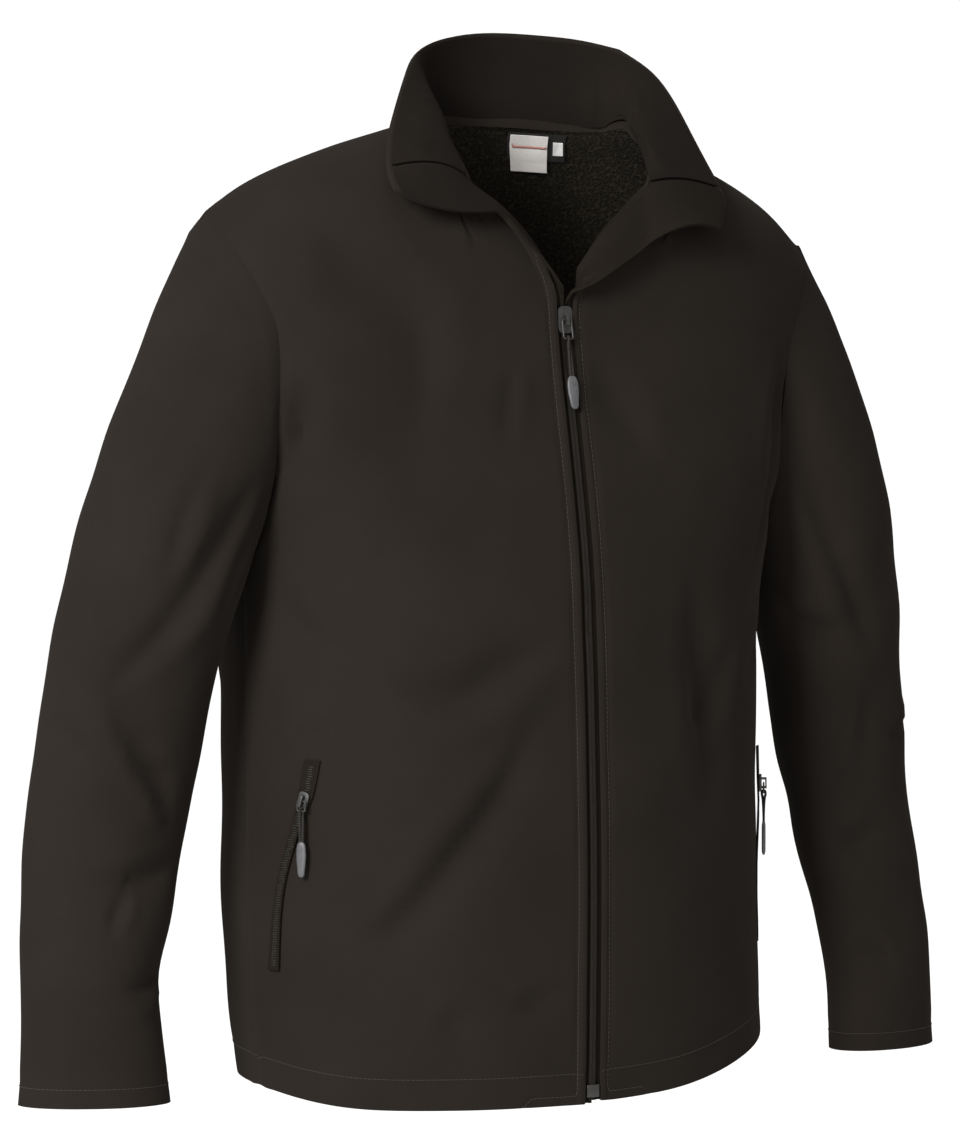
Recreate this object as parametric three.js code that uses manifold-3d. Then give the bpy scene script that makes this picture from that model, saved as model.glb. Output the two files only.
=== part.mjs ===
// A softshell jacket in its worn shape with nobody inside it, in millimetres, +Z up.
// The front faces -Y and the wearer's left arm hangs at +X. The origin lies between the shoulders, level
// with the points where the shoulder seams meet the collar.
import * as THREE from 'three';
import Module from 'manifold-3d';
import { mergeVertices } from 'three/addons/utils/BufferGeometryUtils.js';

// Driving sizes
const WALL = 2.0;              // bonded shell cloth with its fleece back
const SEAM_GAP = 0.3;          // between two pieces that are sewn together
const FACING_WALL = 1.2;       // single cloth inside the collar
const HEM_Z = -718;
const ARMPIT_Z = -322;
const SHOULDER_TIP_Z = -76;
const ARMHOLE_FRONT = 58;      // how far the armhole bulges forward and back of its own line
const ARMHOLE_BACK = 64;
const LEFT_SHOULDER_DROP = 8;  // the wearer's left shoulder hangs a little lower
const HALF_SPREAD = 250;       // half of the shoulder width that the drop is spread over
const TAPE_WALL = 1.0;
const TAPE_PROUD = 6.6;        // zip tape and half of the chain beyond the cloth's edge
const CHAIN_WIDTH = 2.6;       // half of the closed chain
const CHAIN_RISE = 1.4;        // how far the chain stands out of its tape
const TAPE_CLEARANCE = 1.0;    // between the curved cloth and a strip that follows it
const SLIDER_Z = -150;         // middle of the main slider

// Grid resolution of the cloth walls
const ROWS_BELOW = 15;         // hem to armpit
const ROWS_ABOVE = 12;         // armpit to shoulder, and half of a sleeve's girth
const LAPEL_COLUMNS = 3;
const FRONT_COLUMNS = 11;
const BACK_COLUMNS = 18;
const SLEEVE_RINGS = 21;
const NECK_COLUMNS = 6;        // of a front panel's columns, those that end on the neck seam
const NECK_CROWDING = 1.3;     // how much those columns crowd towards the roll line
const COLLAR_HEIGHTS = [0, 0.05, 0.2, 0.37, 0.54, 0.7, 0.84, 0.95, 1];

const DEGREE = Math.PI / 180;
const ARMPIT_V = 0.56;         // share of a panel's height at the armpit
const RIGHT = -1;
const LEFT = 1;

// Tables. Each row is one section, each column is named.
const TORSO = table(
  ['z', 'centreX', 'halfWidth', 'splitY', 'front', 'back', 'squareFront', 'squareBack'], [
    [-724, 4, 206, 8, 136, 142, 2.15, 2.35],
    [-640, 0, 210, 8, 138, 150, 2.10, 2.5],
    [-560, -3, 211, 8, 139, 153, 2.05, 2.5],
    [-450, -3, 212, 8, 136, 152, 2.05, 2.5],
    [-357, -2, 214, 8, 131, 150, 2.10, 2.5],
    [-303, 0, 221, 7, 123, 146, 2.20, 2.5],
    [-250, 0, 234, 5, 111, 138, 2.40, 2.5],
    [-190, 0, 246, 3, 97, 127, 2.50, 2.4],
    [-152, 0, 252, 1, 88, 118, 2.50, 2.3],
    [-110, 0, 257, 0, 86, 104, 2.40, 2.2],
    [-76, 0, 254, 0, 84, 90, 2.30, 2.2],
    [-60, 0, 234, 0, 79, 80, 2.20, 2.2],
    [-45, 0, 210, 0, 71, 71, 2.20, 2.2],
    [-36, 2, 188, 0, 64, 63, 2.20, 2.2],
    [-27, 4, 168, 0, 55, 58, 2.20, 2.2],
    [-7, 10, 108, 0, 29, 44, 2.20, 2.2],
    [0, 12, 92, 0, 14, 35, 2.20, 2.2],
  ]);

// The lower edge all round, by angle: 0 at the centre front, -90 at the wearer's right side.
const HEM = table(['angle', 'z'], [
  [-360, -718], [-345, -715], [-325, -705], [-302, -691], [-286, -681], [-270, -676],
  [-225, -690], [-180, -700], [-90, -709], [-45, -720], [0, -720],
]);

// Where the front opens: the line it rolls over on and the edge beyond it, on each side of the zip.
const OPENING_COLUMNS = ['v', 'rollX', 'rollZ', 'edgeX', 'edgeZ', 'lift'];
const OPENING = {
  [RIGHT]: table(OPENING_COLUMNS, [
    [0, 21, -720, 7, -720, 0],
    [0.56, 21, -322, 7, -322, 0],
    [0.80, 20, -160, 7, -160, 0],
    [0.84, 18, -138, 7, -138, 0],
    [0.88, 18, -124, 11, -128, 5],
    [0.92, 29, -102, 21, -110, 8],
    [0.96, 47, -79, 40, -91, 10],
    [1, 70, -58, 60, -71, 9],
  ]),
  [LEFT]: table(OPENING_COLUMNS, [
    [0, 21, -718, 7, -718, 0],
    [0.56, 21, -322, 7, -322, 0],
    [0.80, 20, -160, 7, -160, 0],
    [0.84, 17, -138, 7, -138, 0],
    [0.88, 14, -118, 13, -124, 6],
    [0.92, 24, -95, 29, -110, 9],
    [0.96, 47, -75, 48, -99, 10],
    [1, 72, -55, 66, -88, 10],
  ]),
};

// The neck seam from the right front roll line, round the back, to the left one. It lies on the torso.
const NECK = table(['s', 'angle', 'z'], [
  [0.07, -15.6, -58], [0.14, -21.7, -40], [0.22, -35.7, -20], [0.26, -56.4, -8], [0.30, -90, 0],
  [0.38, -133.7, -0.5], [0.50, -180, -0.5], [0.62, -221.7, -1.5], [0.70, -270, 0], [0.74, -304, -8],
  [0.78, -320.2, -20], [0.86, -334.2, -40], [0.93, -343.2, -55],
]);
const NECK_SIDE = { [RIGHT]: 0.30, [LEFT]: 0.70 };
const NECK_ROLL = { [RIGHT]: 0.07, [LEFT]: 0.93 };
const NECK_END = { [RIGHT]: 0, [LEFT]: 1 };

// The collar from its right front end round to the left one: a point halfway up it and one on its top edge.
const COLLAR = table(['s', 'midX', 'midY', 'midZ', 'topX', 'topY', 'topZ'], [
  [0, -101, -93, -69, -140, -83, -59],
  [0.07, -98, -76, -42, -136, -66, -46],
  [0.14, -88, -48, -14, -126, -46, -24],
  [0.22, -77, -22, 12, -112, -28, -2],
  [0.30, -72, 4, 32, -92, -8, 28],
  [0.38, -58, 24, 36, -66, 20, 54],
  [0.50, 14, 47, 32, 18, 55, 73],
  [0.62, 90, 32, 30, 104, 42, 67],
  [0.70, 111, 6, 27, 134, 15, 46],
  [0.78, 106, -16, 6, 142, -14, 13],
  [0.86, 103, -50, -23, 150, -40, -30],
  [0.93, 102, -74, -47, 151, -62, -53],
  [1, 97, -99, -76, 131, -93, -80],
]);

// One sleeve from armhole to cuff, for the +X side. lean tips the ring's outer end up from level, turn
// swings it backwards, half and depth are its half axes.
const SLEEVE = table(['t', 'x', 'y', 'z', 'half', 'depth', 'lean', 'turn'], [
  [0, 236, 4, -199, 124.3, 61, 81.8, 0],
  [0.08, 252.5, 1, -234, 108.4, 61, 73.6, 3],
  [0.16, 265, 2, -267.5, 95.4, 61, 66.5, 6],
  [0.25, 278, 4, -303.5, 84.7, 60, 57.5, 9],
  [0.35, 291, 9, -348.5, 73.9, 56, 46.4, 12],
  [0.45, 301, 14, -397.5, 65.9, 52, 32.6, 16],
  [0.56, 308.5, 20, -448.5, 60.8, 47.7, 15.8, 19],
  [0.68, 320, 22, -520, 59, 44, 5, 20],
  [0.78, 329, 16, -575, 55.6, 40, 0, 20],
  [0.90, 338, 6, -646, 50.3, 37, 0, 20],
  [1, 338, 0, -712, 54.4, 32, 0, 20],
]);

// Folds. Each row is one straight stretch of a trough (depth below 0) or ridge, with its half width.
// On the torso its ends are an angle and a height.
const TORSO_FOLDS = folds(['fromA', 'fromB', 'toA', 'toB', 'width', 'depth'], [
  [-52, -84, -21, -158, 22, -4.0],
  [-21, -158, -30, -246, 24, -4.0],
  [-4, -380, -27, -425, 18, -4.0],
  [-27, -425, -49, -411, 17, -3.5],
  [-11, -435, -25, -526, 16, -4.5],
  [-25, -526, -46, -592, 16, -4.0],
  [-14, -648, -5, -641, 11, -2.0],
  [-53, -196, -58, -255, 9, -8.0],
  [-58, -255, -72, -274, 10, -9.0],
  [7, -175, 14, -256, 17, -3.0],
  [24, -330, 30, -510, 26, -5.0],
  [58, -200, 64, -268, 10, -8.0],
  [64, -268, 74, -300, 10, -7.0],
  [40, -560, 62, -640, 18, -3.0],
  [-128, -186, -142, -330, 16, -6.0],
  [127, -180, 139, -316, 15, -6.0],
  [-172, -410, -148, -520, 20, -4.5],
  [168, -520, 140, -615, 18, -4.0],
  [-178, -120, 176, -215, 24, -3.0],
  [-112, -430, -126, -560, 16, -3.5],
]);
// On a sleeve they are places round it and along it.
const SLEEVE_FOLD_COLUMNS = ['fromA', 'fromB', 'toA', 'toB', 'width', 'depth'];
const SLEEVE_FOLDS = {
  [RIGHT]: folds(SLEEVE_FOLD_COLUMNS, [
    [0.12, 0.36, 0.31, 0.49, 16, -5.0],
    [0.30, 0.48, 0.16, 0.63, 12, -4.5],
    [0.37, 0.53, 0.21, 0.68, 16, 4.0],
    [0.29, 0.735, 0.04, 0.705, 12, -6.0],
    [0.29, 0.735, 0.23, 0.80, 12, -3.0],
    [0.44, 0.53, 0.29, 0.60, 7, -2.5],
    [0.16, 0.88, -0.04, 0.84, 10, -5.5],
    [0.94, 0.66, 0.80, 0.72, 14, -5.0],
    [0.72, 0.45, 0.62, 0.56, 16, -4.0],
    [0.80, 0.86, 0.66, 0.90, 11, -3.5],
  ]),
  [LEFT]: folds(SLEEVE_FOLD_COLUMNS, [
    [0.10, 0.34, 0.28, 0.46, 16, -5.5],
    [0.26, 0.50, 0.12, 0.62, 13, -4.0],
    [0.34, 0.55, 0.20, 0.68, 16, 3.0],
    [0.26, 0.72, 0.05, 0.69, 12, -5.0],
    [0.42, 0.66, 0.30, 0.74, 10, -2.5],
    [0.18, 0.90, 0.00, 0.86, 10, -4.0],
    [0.93, 0.64, 0.78, 0.70, 14, -5.5],
    [0.70, 0.43, 0.60, 0.54, 16, -4.0],
    [0.82, 0.83, 0.66, 0.88, 11, -3.0],
  ]),
};
const MM_PER_DEGREE = 3.3;     // mean girth of the torso
const SLEEVE_GIRTH = 350;
const SLEEVE_LENGTH = 600;

// Small maths

function folds(names, rows) {
  return rows.map((row) => Object.fromEntries(names.map((name, i) => [name, row[i]])));
}

// How far the folds move a place on the cloth. Both places are in millimetres, loop is the whole way round.
function foldDepth(rows, across, along, scaleA, scaleB, loop) {
  let depth = 0;
  for (const row of rows) {
    const nearest = (value) => ((((value % loop) + 1.5 * loop) % loop) - loop / 2);
    const dx = nearest((row.toA - row.fromA) * scaleA);
    const dy = (row.toB - row.fromB) * scaleB;
    const px = nearest(across - row.fromA * scaleA);
    const py = along - row.fromB * scaleB;
    const length2 = dx * dx + dy * dy;
    const share = Math.min(Math.max((px * dx + py * dy) / length2, 0), 1);
    const distance = Math.hypot(px - share * dx, py - share * dy);
    const thinning = 0.55 + 0.45 * Math.sin(Math.PI * share);
    depth += row.depth * thinning * Math.exp(-((distance / row.width) ** 2));
  }
  return depth;
}

function table(names, rows) {
  const columns = {};
  names.forEach((name, i) => { columns[name] = rows.map((row) => row[i]); });
  const key = columns[names[0]];
  const curves = {};
  names.slice(1).forEach((name) => { curves[name] = smoothCurve(key, columns[name]); });
  return (x) => {
    const out = {};
    for (const name of Object.keys(curves)) out[name] = curves[name](x);
    return out;
  };
}

// A cubic through the rows that never swings past them.
function smoothCurve(xs, ys) {
  const last = xs.length - 1;
  const secant = [];
  for (let i = 0; i < last; i += 1) secant.push((ys[i + 1] - ys[i]) / (xs[i + 1] - xs[i]));
  const slope = xs.map((x, i) => {
    if (i === 0) return secant[0];
    if (i === last) return secant[last - 1];
    const [a, b] = [secant[i - 1], secant[i]];
    return a * b <= 0 ? 0 : (2 * a * b) / (a + b);
  });
  return (x) => {
    const clamped = Math.min(Math.max(x, xs[0]), xs[last]);
    let i = 0;
    while (i < last - 1 && clamped > xs[i + 1]) i += 1;
    const span = xs[i + 1] - xs[i];
    const t = (clamped - xs[i]) / span;
    const t2 = t * t;
    const t3 = t2 * t;
    return (2 * t3 - 3 * t2 + 1) * ys[i] + (t3 - 2 * t2 + t) * span * slope[i]
      + (3 * t2 - 2 * t3) * ys[i + 1] + (t3 - t2) * span * slope[i + 1];
  };
}

function ease(t) {
  const c = Math.min(Math.max(t, 0), 1);
  return c * c * (3 - 2 * c);
}

function mix(a, b, t) {
  return a + (b - a) * t;
}

// The unit normal of a surface given as a function of two numbers, by small steps.
function surfaceNormal(surface, a, b, stepA, stepB) {
  const alongA = surface(a + stepA, b).sub(surface(a - stepA, b));
  const alongB = surface(a, b + stepB).sub(surface(a, b - stepB));
  return alongA.cross(alongB).normalize();
}

// The torso form

function torsoForm(angle, z) {
  const level = Math.min(z, 0);
  const row = TORSO(level);
  const sin = Math.sin(angle * DEGREE);
  const cos = Math.cos(angle * DEGREE);
  const isFront = cos >= 0;
  const power = 2 / (isFront ? row.squareFront : row.squareBack);
  const across = Math.sign(sin) * Math.abs(sin) ** power;
  const along = Math.abs(cos) ** power;
  const x = row.centreX + row.halfWidth * across;
  const y = row.splitY + (isFront ? -row.front : row.back) * along;
  const share = ease((z - ARMPIT_Z) / 150);
  const drop = LEFT_SHOULDER_DROP * share * (Math.max(x, 0) / HALF_SPREAD) ** 2;
  return new THREE.Vector3(x, y, z - drop);
}

function torsoNormal(angle, z) {
  return surfaceNormal(torsoForm, angle, z, 0.6, 1);
}

function torsoPoint(angle, z) {
  const depth = foldDepth(TORSO_FOLDS, angle * MM_PER_DEGREE, z, MM_PER_DEGREE, 1, 360 * MM_PER_DEGREE);
  return torsoForm(angle, z).addScaledVector(torsoNormal(angle, z), depth);
}

function clothNormal(angle, z) {
  return surfaceNormal(torsoPoint, angle, z, 0.6, 1);
}

function torsoX(angle, z) {
  const row = TORSO(Math.min(z, 0));
  const sin = Math.sin(angle * DEGREE);
  const square = Math.cos(angle * DEGREE) >= 0 ? row.squareFront : row.squareBack;
  return row.centreX + row.halfWidth * Math.sign(sin) * Math.abs(sin) ** (2 / square);
}

// The angle at which the form's section at z reaches a given x, on its front or its back.
function angleAt(x, z, isFront) {
  const row = TORSO(Math.min(z, 0));
  const share = Math.min(Math.abs(x - row.centreX) / row.halfWidth, 1);
  const fromMiddle = Math.asin(share ** ((isFront ? row.squareFront : row.squareBack) / 2)) / DEGREE;
  const side = Math.sign(x - row.centreX);
  return isFront ? side * fromMiddle : -180 - side * fromMiddle;
}

// An armhole from the armpit (rise 0) to the shoulder tip (rise 1).
function armhole(side, isFront, rise) {
  const turn = Math.PI * rise;
  const z = mix(SHOULDER_TIP_Z, ARMPIT_Z, (1 + Math.cos(turn)) / 2);
  const row = TORSO(z);
  const reach = (isFront ? ARMHOLE_FRONT : ARMHOLE_BACK) * Math.sin(turn);
  const depth = isFront ? row.front : row.back;
  const square = isFront ? row.squareFront : row.squareBack;
  const fromSide = Math.asin((reach / depth) ** (square / 2)) / DEGREE;
  if (isFront) return { angle: side * (90 - fromSide), z };
  return { angle: -180 - side * (90 - fromSide), z };
}

// The height on the shoulder ridge at a distance from the centre line.
function ridgeHeight(halfWidth) {
  let low = SHOULDER_TIP_Z;
  let high = 0;
  for (let i = 0; i < 40; i += 1) {
    const middle = (low + high) / 2;
    if (TORSO(middle).halfWidth > halfWidth) low = middle;
    else high = middle;
  }
  return (low + high) / 2;
}

function shoulderSeam(side, isFront, share) {
  const neckWidth = TORSO(0).halfWidth;
  const tipWidth = TORSO(SHOULDER_TIP_Z).halfWidth;
  const z = share >= 1 ? SHOULDER_TIP_Z : ridgeHeight(mix(neckWidth, tipWidth, share));
  return { angle: isFront ? side * 90 : -180 - side * 90, z };
}

// How far up the part above the armpit a panel's row lies.
function shareAbove(v) {
  return Math.min(Math.max((v - ARMPIT_V) / (1 - ARMPIT_V), 0), 1);
}

// A place below the armpit: straight columns from the lower border, whose shape fades out going up.
function placeBelow(panel, u, v) {
  const rise = v / ARMPIT_V;
  const [start, end] = [panel.start(v), panel.end(v)];
  const height = panel.low(u) - mix(panel.low(0), panel.low(1), u);
  return { angle: mix(start.angle, end.angle, u), z: mix(start.z, end.z, u) + height * (1 - ease(rise)) };
}

// A place above the armpit: blended between the four borders as they lie in the front view. spread leads
// the columns of a front away from its steep neck seam.
const SPREAD_POWER = 8;
const FRONT_SPREAD = 400;

function placeAbove(panel, u, v) {
  const share = shareAbove(v);
  if (u === 0) return panel.start(v);
  if (u === 1) return panel.end(v);
  if (share === 1) return panel.high(u);
  const view = (place) => [torsoX(place.angle, place.z), place.z];
  const low = placeBelow(panel, u, ARMPIT_V);
  const corners = [panel.start(ARMPIT_V), panel.end(ARMPIT_V), panel.start(1), panel.end(1)].map(view);
  const [borderLow, borderHigh, start, end] = [low, panel.high(u), panel.start(v), panel.end(v)].map(view);
  const [x, z] = [0, 1].map((k) => mix(borderLow[k], borderHigh[k], share) + mix(start[k], end[k], u)
    - mix(mix(corners[0][k], corners[1][k], u), mix(corners[2][k], corners[3][k], u), share));
  const spread = panel.spread * Math.sin(Math.PI * u) * share ** SPREAD_POWER * (1 - share);
  return { angle: angleAt(x + spread, z, panel.isFront), z };
}

function placeOn(panel, u, v) {
  return v < ARMPIT_V ? placeBelow(panel, u, v) : placeAbove(panel, u, v);
}

// Front panels

const NECK_SHARE = NECK_COLUMNS / FRONT_COLUMNS;
const SHOULDER_COLUMNS = FRONT_COLUMNS - NECK_COLUMNS;
const LAPEL_U = 0.12;          // share of a front panel's width that lies beyond the roll line

function rollLine(side, v) {
  const row = OPENING[side](v);
  return { angle: angleAt(side * row.rollX, row.rollZ, true), z: row.rollZ };
}

function sideLine(side, isFront, v) {
  if (v >= ARMPIT_V) return armhole(side, isFront, Math.acos(1 - 2 * shareAbove(v)) / Math.PI);
  const hem = hemHeight(side * 90);
  return { angle: isFront ? side * 90 : -180 - side * 90, z: mix(hem, ARMPIT_Z, v / ARMPIT_V) };
}

function hemHeight(angle) {
  return HEM(angle > 0 ? angle - 360 : angle).z;
}

// The place along the neck seam of a share of the way from the roll line to the shoulder.
function neckAt(side, share) {
  return mix(NECK_ROLL[side], NECK_SIDE[side], share ** NECK_CROWDING);
}

function frontTop(side, u) {
  if (u > NECK_SHARE) return shoulderSeam(side, true, (u - NECK_SHARE) / (1 - NECK_SHARE));
  const row = NECK(neckAt(side, u / NECK_SHARE));
  return { angle: side === LEFT ? row.angle + 360 : row.angle, z: row.z };
}

function frontPanel(side) {
  const start = rollLine(side, 0).angle;
  return {
    isFront: true,
    spread: side * FRONT_SPREAD,
    low: (u) => hemHeight(mix(start, side * 90, u)),
    high: (u) => frontTop(side, u),
    start: (v) => rollLine(side, v),
    end: (v) => sideLine(side, true, v),
  };
}

const FRONT_PANELS = { [RIGHT]: frontPanel(RIGHT), [LEFT]: frontPanel(LEFT) };

function frontMain(side, u, v) {
  const at = placeOn(FRONT_PANELS[side], u, v);
  return torsoPoint(at.angle, at.z);
}

// The strip beyond the roll line, from the roll (share 0) to the edge (share 1).
function lapelPoint(side, share, v) {
  const row = OPENING[side](v);
  const roll = frontMain(side, 0, v);
  const edgeAngle = angleAt(side * row.edgeX, row.edgeZ, true);
  const edgeNormal = torsoNormal(edgeAngle, row.edgeZ);
  const edge = torsoPoint(edgeAngle, row.edgeZ).addScaledVector(edgeNormal, row.lift);
  const inward = roll.clone().sub(frontMain(side, 0.05, v)).normalize();
  const rollAngle = rollLine(side, v).angle;
  const bend = roll.clone()
    .addScaledVector(inward, row.lift * 0.75)
    .addScaledVector(torsoNormal(rollAngle, row.rollZ), row.lift * 0.75);
  const straight = roll.clone().lerp(edge, 0.5);
  const control = straight.lerp(bend, Math.min(row.lift / 6, 1));
  const a = (1 - share) ** 2;
  const b = 2 * share * (1 - share);
  const c = share ** 2;
  return roll.multiplyScalar(a).addScaledVector(control, b).addScaledVector(edge, c);
}

function frontPoint(side, u, v) {
  if (u < LAPEL_U) return lapelPoint(side, 1 - u / LAPEL_U, v);
  return frontMain(side, (u - LAPEL_U) / (1 - LAPEL_U), v);
}

// The normal where the panel follows the torso. The strip beyond the roll line has none of its own.
function frontNormal(side, u, v) {
  if (u <= LAPEL_U) return null;
  const at = placeOn(FRONT_PANELS[side], (u - LAPEL_U) / (1 - LAPEL_U), v);
  return clothNormal(at.angle, at.z);
}

// Back panel, from the right side seam (u 0) to the left one (u 1)

const YOKE_SHARE = SHOULDER_COLUMNS / BACK_COLUMNS;   // of the upper border, what one shoulder seam takes

function backTop(u) {
  if (u < YOKE_SHARE) return shoulderSeam(RIGHT, false, 1 - u / YOKE_SHARE);
  if (u > 1 - YOKE_SHARE) return shoulderSeam(LEFT, false, (u - 1 + YOKE_SHARE) / YOKE_SHARE);
  const share = (u - YOKE_SHARE) / (1 - 2 * YOKE_SHARE);
  return NECK(mix(NECK_SIDE[RIGHT], NECK_SIDE[LEFT], share));
}

const BACK_PANEL = {
  isFront: false,
  spread: 0,
  low: (u) => hemHeight(mix(-90, -270, u)),
  high: backTop,
  start: (v) => sideLine(RIGHT, false, v),
  end: (v) => sideLine(LEFT, false, v),
};

function backPoint(u, v) {
  const at = placeOn(BACK_PANEL, u, v);
  return torsoPoint(at.angle, at.z);
}

function backNormal(u, v) {
  const at = placeOn(BACK_PANEL, u, v);
  return clothNormal(at.angle, at.z);
}

// Collar, from the right front end (s 0) round the back to the left one (s 1)

function neckSeam(s) {
  if (s <= NECK_ROLL[RIGHT]) return lapelPoint(RIGHT, 1 - s / NECK_ROLL[RIGHT], 1);
  if (s >= NECK_ROLL[LEFT]) return lapelPoint(LEFT, (s - NECK_ROLL[LEFT]) / (1 - NECK_ROLL[LEFT]), 1);
  const row = NECK(s);
  return torsoPoint(row.angle, row.z);
}

function collarPoint(s, h) {
  const row = COLLAR(s);
  const base = neckSeam(s);
  const middle = new THREE.Vector3(row.midX, row.midY, row.midZ);
  const top = new THREE.Vector3(row.topX, row.topY, row.topZ);
  const control = middle.multiplyScalar(2).addScaledVector(base, -0.5).addScaledVector(top, -0.5);
  return base.multiplyScalar((1 - h) ** 2)
    .addScaledVector(control, 2 * h * (1 - h))
    .addScaledVector(top, h * h);
}

// Sleeves

function armholePoint(side, w) {
  const isFront = w <= 0.5;
  const at = armhole(side, isFront, isFront ? 2 * w : 2 - 2 * w);
  return torsoPoint(at.angle, at.z);
}

// A ring of the sleeve's own form. w runs from the armpit line (0) over the front to the outer line (0.5).
function ringPoint(side, w, t) {
  const row = SLEEVE(t);
  const lean = row.lean * DEGREE;
  const turn = row.turn * DEGREE;
  const outward = new THREE.Vector3(
    side * Math.cos(lean) * Math.cos(turn), Math.cos(lean) * Math.sin(turn), Math.sin(lean));
  const forward = new THREE.Vector3(side * Math.sin(turn), -Math.cos(turn), 0);
  const around = 2 * Math.PI * w;
  return new THREE.Vector3(side * row.x, row.y, row.z)
    .addScaledVector(outward, -row.half * Math.cos(around))
    .addScaledVector(forward, row.depth * Math.sin(around));
}

const ARMHOLE_BLEND = 0.28;    // share of the sleeve over which the armhole's line fades out

function sleevePoint(side, w, t) {
  const wrapped = ((w % 1) + 1) % 1;
  const centre = new THREE.Vector3(side * SLEEVE(t).x, SLEEVE(t).y, SLEEVE(t).z);
  const point = ringPoint(side, wrapped, t);
  const depth = foldDepth(
    SLEEVE_FOLDS[side], wrapped * SLEEVE_GIRTH, t * SLEEVE_LENGTH, SLEEVE_GIRTH, SLEEVE_LENGTH, SLEEVE_GIRTH);
  point.addScaledVector(point.clone().sub(centre).normalize(), depth);
  const fade = 1 - ease(t / ARMHOLE_BLEND);
  if (fade <= 0) return point;
  const mismatch = armholePoint(side, wrapped).sub(ringPoint(side, wrapped, 0));
  return point.addScaledVector(mismatch, fade);
}

// Meshes

// Moves the border points of a sheet back from the seam, square to it.
function trimBorders(grid, gaps) {
  const rows = grid.length - 1;
  const columns = grid[0].length - 1;
  const old = grid.map((row) => row.map((point) => point.clone()));
  const pull = (point, neighbour, before, after, gap) => {
    const along = after.clone().sub(before).normalize();
    const back = neighbour.clone().sub(point);
    point.addScaledVector(back.addScaledVector(along, -back.dot(along)).normalize(), gap);
  };
  for (let i = 0; i <= rows; i += 1) {
    const [before, after] = [old[Math.max(i - 1, 0)], old[Math.min(i + 1, rows)]];
    if (gaps.start) pull(grid[i][0], old[i][1], before[0], after[0], gaps.start);
    if (gaps.end) pull(grid[i][columns], old[i][columns - 1], before[columns], after[columns], gaps.end);
  }
  for (let j = 0; j <= columns; j += 1) {
    const [before, after] = [Math.max(j - 1, 0), Math.min(j + 1, columns)];
    if (gaps.low) pull(grid[0][j], old[1][j], old[0][before], old[0][after], gaps.low);
    if (gaps.high) pull(grid[rows][j], old[rows - 1][j], old[rows][before], old[rows][after], gaps.high);
  }
}

// A closed wall between an outer and an inner grid of points. A tube's columns close on themselves. The
// edge faces break along the diagonal that is shorter on the guide grids, so two walls on one seam, which
// share those, break alike.
function wallGeometry(outer, inner, isTube, guide = [outer, inner]) {
  const rows = outer.length;
  const columns = outer[0].length;
  const positions = [];
  for (const grid of [outer, inner]) {
    for (const row of grid) for (const point of row) positions.push(point.x, point.y, point.z);
  }
  const skin = rows * columns;
  const at = (i, j) => i * columns + (j % columns);
  const faces = [];
  const quad = (a, b, c, d) => faces.push(a, b, c, a, c, d);
  const spans = isTube ? columns : columns - 1;
  for (let i = 0; i < rows - 1; i += 1) {
    for (let j = 0; j < spans; j += 1) {
      quad(at(i, j), at(i, j + 1), at(i + 1, j + 1), at(i + 1, j));
      quad(skin + at(i, j), skin + at(i + 1, j), skin + at(i + 1, j + 1), skin + at(i, j + 1));
    }
  }
  const guidePoints = guide.flat(2);
  const place = (k) => guidePoints[k];
  const edge = (a, b, c, d) => {
    if (place(a).distanceTo(place(c)) <= place(b).distanceTo(place(d))) quad(a, b, c, d);
    else quad(b, c, d, a);
  };
  for (let j = 0; j < spans; j += 1) {
    edge(at(0, j + 1), at(0, j), skin + at(0, j), skin + at(0, j + 1));
    edge(at(rows - 1, j), at(rows - 1, j + 1), skin + at(rows - 1, j + 1), skin + at(rows - 1, j));
  }
  if (!isTube) {
    for (let i = 0; i < rows - 1; i += 1) {
      edge(at(i, 0), at(i + 1, 0), skin + at(i + 1, 0), skin + at(i, 0));
      edge(at(i + 1, columns - 1), at(i, columns - 1), skin + at(i, columns - 1), skin + at(i + 1, columns - 1));
    }
  }
  return closedGeometry(positions, faces);
}

function closedGeometry(positions, faces) {
  const point = (i) => new THREE.Vector3().fromArray(positions, 3 * i);
  let volume = 0;
  for (let i = 0; i < faces.length; i += 3) {
    volume += point(faces[i]).dot(point(faces[i + 1]).cross(point(faces[i + 2])));
  }
  const index = [];
  for (let i = 0; i < faces.length; i += 3) {
    index.push(faces[i], ...(volume > 0 ? [faces[i + 1], faces[i + 2]] : [faces[i + 2], faces[i + 1]]));
  }
  const geometry = new THREE.BufferGeometry();
  geometry.setAttribute('position', new THREE.Float32BufferAttribute(positions, 3));
  geometry.setIndex(index);
  geometry.computeVertexNormals();
  return geometry;
}

function makeGrid(rows, columns, pointAt) {
  return rows.map((v) => columns.map((u) => pointAt(u, v)));
}

// Evenly spaced numbers from start to end, both included.
function steps(start, end, count) {
  return Array.from({ length: count + 1 }, (_, i) => mix(start, end, i / count));
}

// Normals of a grid of points, by differences to the neighbours. flip turns them over.
function gridNormals(grid, isTube, flip) {
  const rows = grid.length;
  const columns = grid[0].length;
  return grid.map((row, i) => row.map((point, j) => {
    const before = isTube ? grid[i][(j + columns - 1) % columns] : grid[i][Math.max(j - 1, 0)];
    const after = isTube ? grid[i][(j + 1) % columns] : grid[i][Math.min(j + 1, columns - 1)];
    const below = grid[Math.max(i - 1, 0)][j];
    const above = grid[Math.min(i + 1, rows - 1)][j];
    const across = after.clone().sub(before);
    const up = above.clone().sub(below);
    return across.cross(up).normalize().multiplyScalar(flip ? -1 : 1);
  }));
}

function moved(grid, normals, distance) {
  return grid.map((row, i) => row.map((point, j) => point.clone().addScaledVector(normals[i][j], distance)));
}

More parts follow.
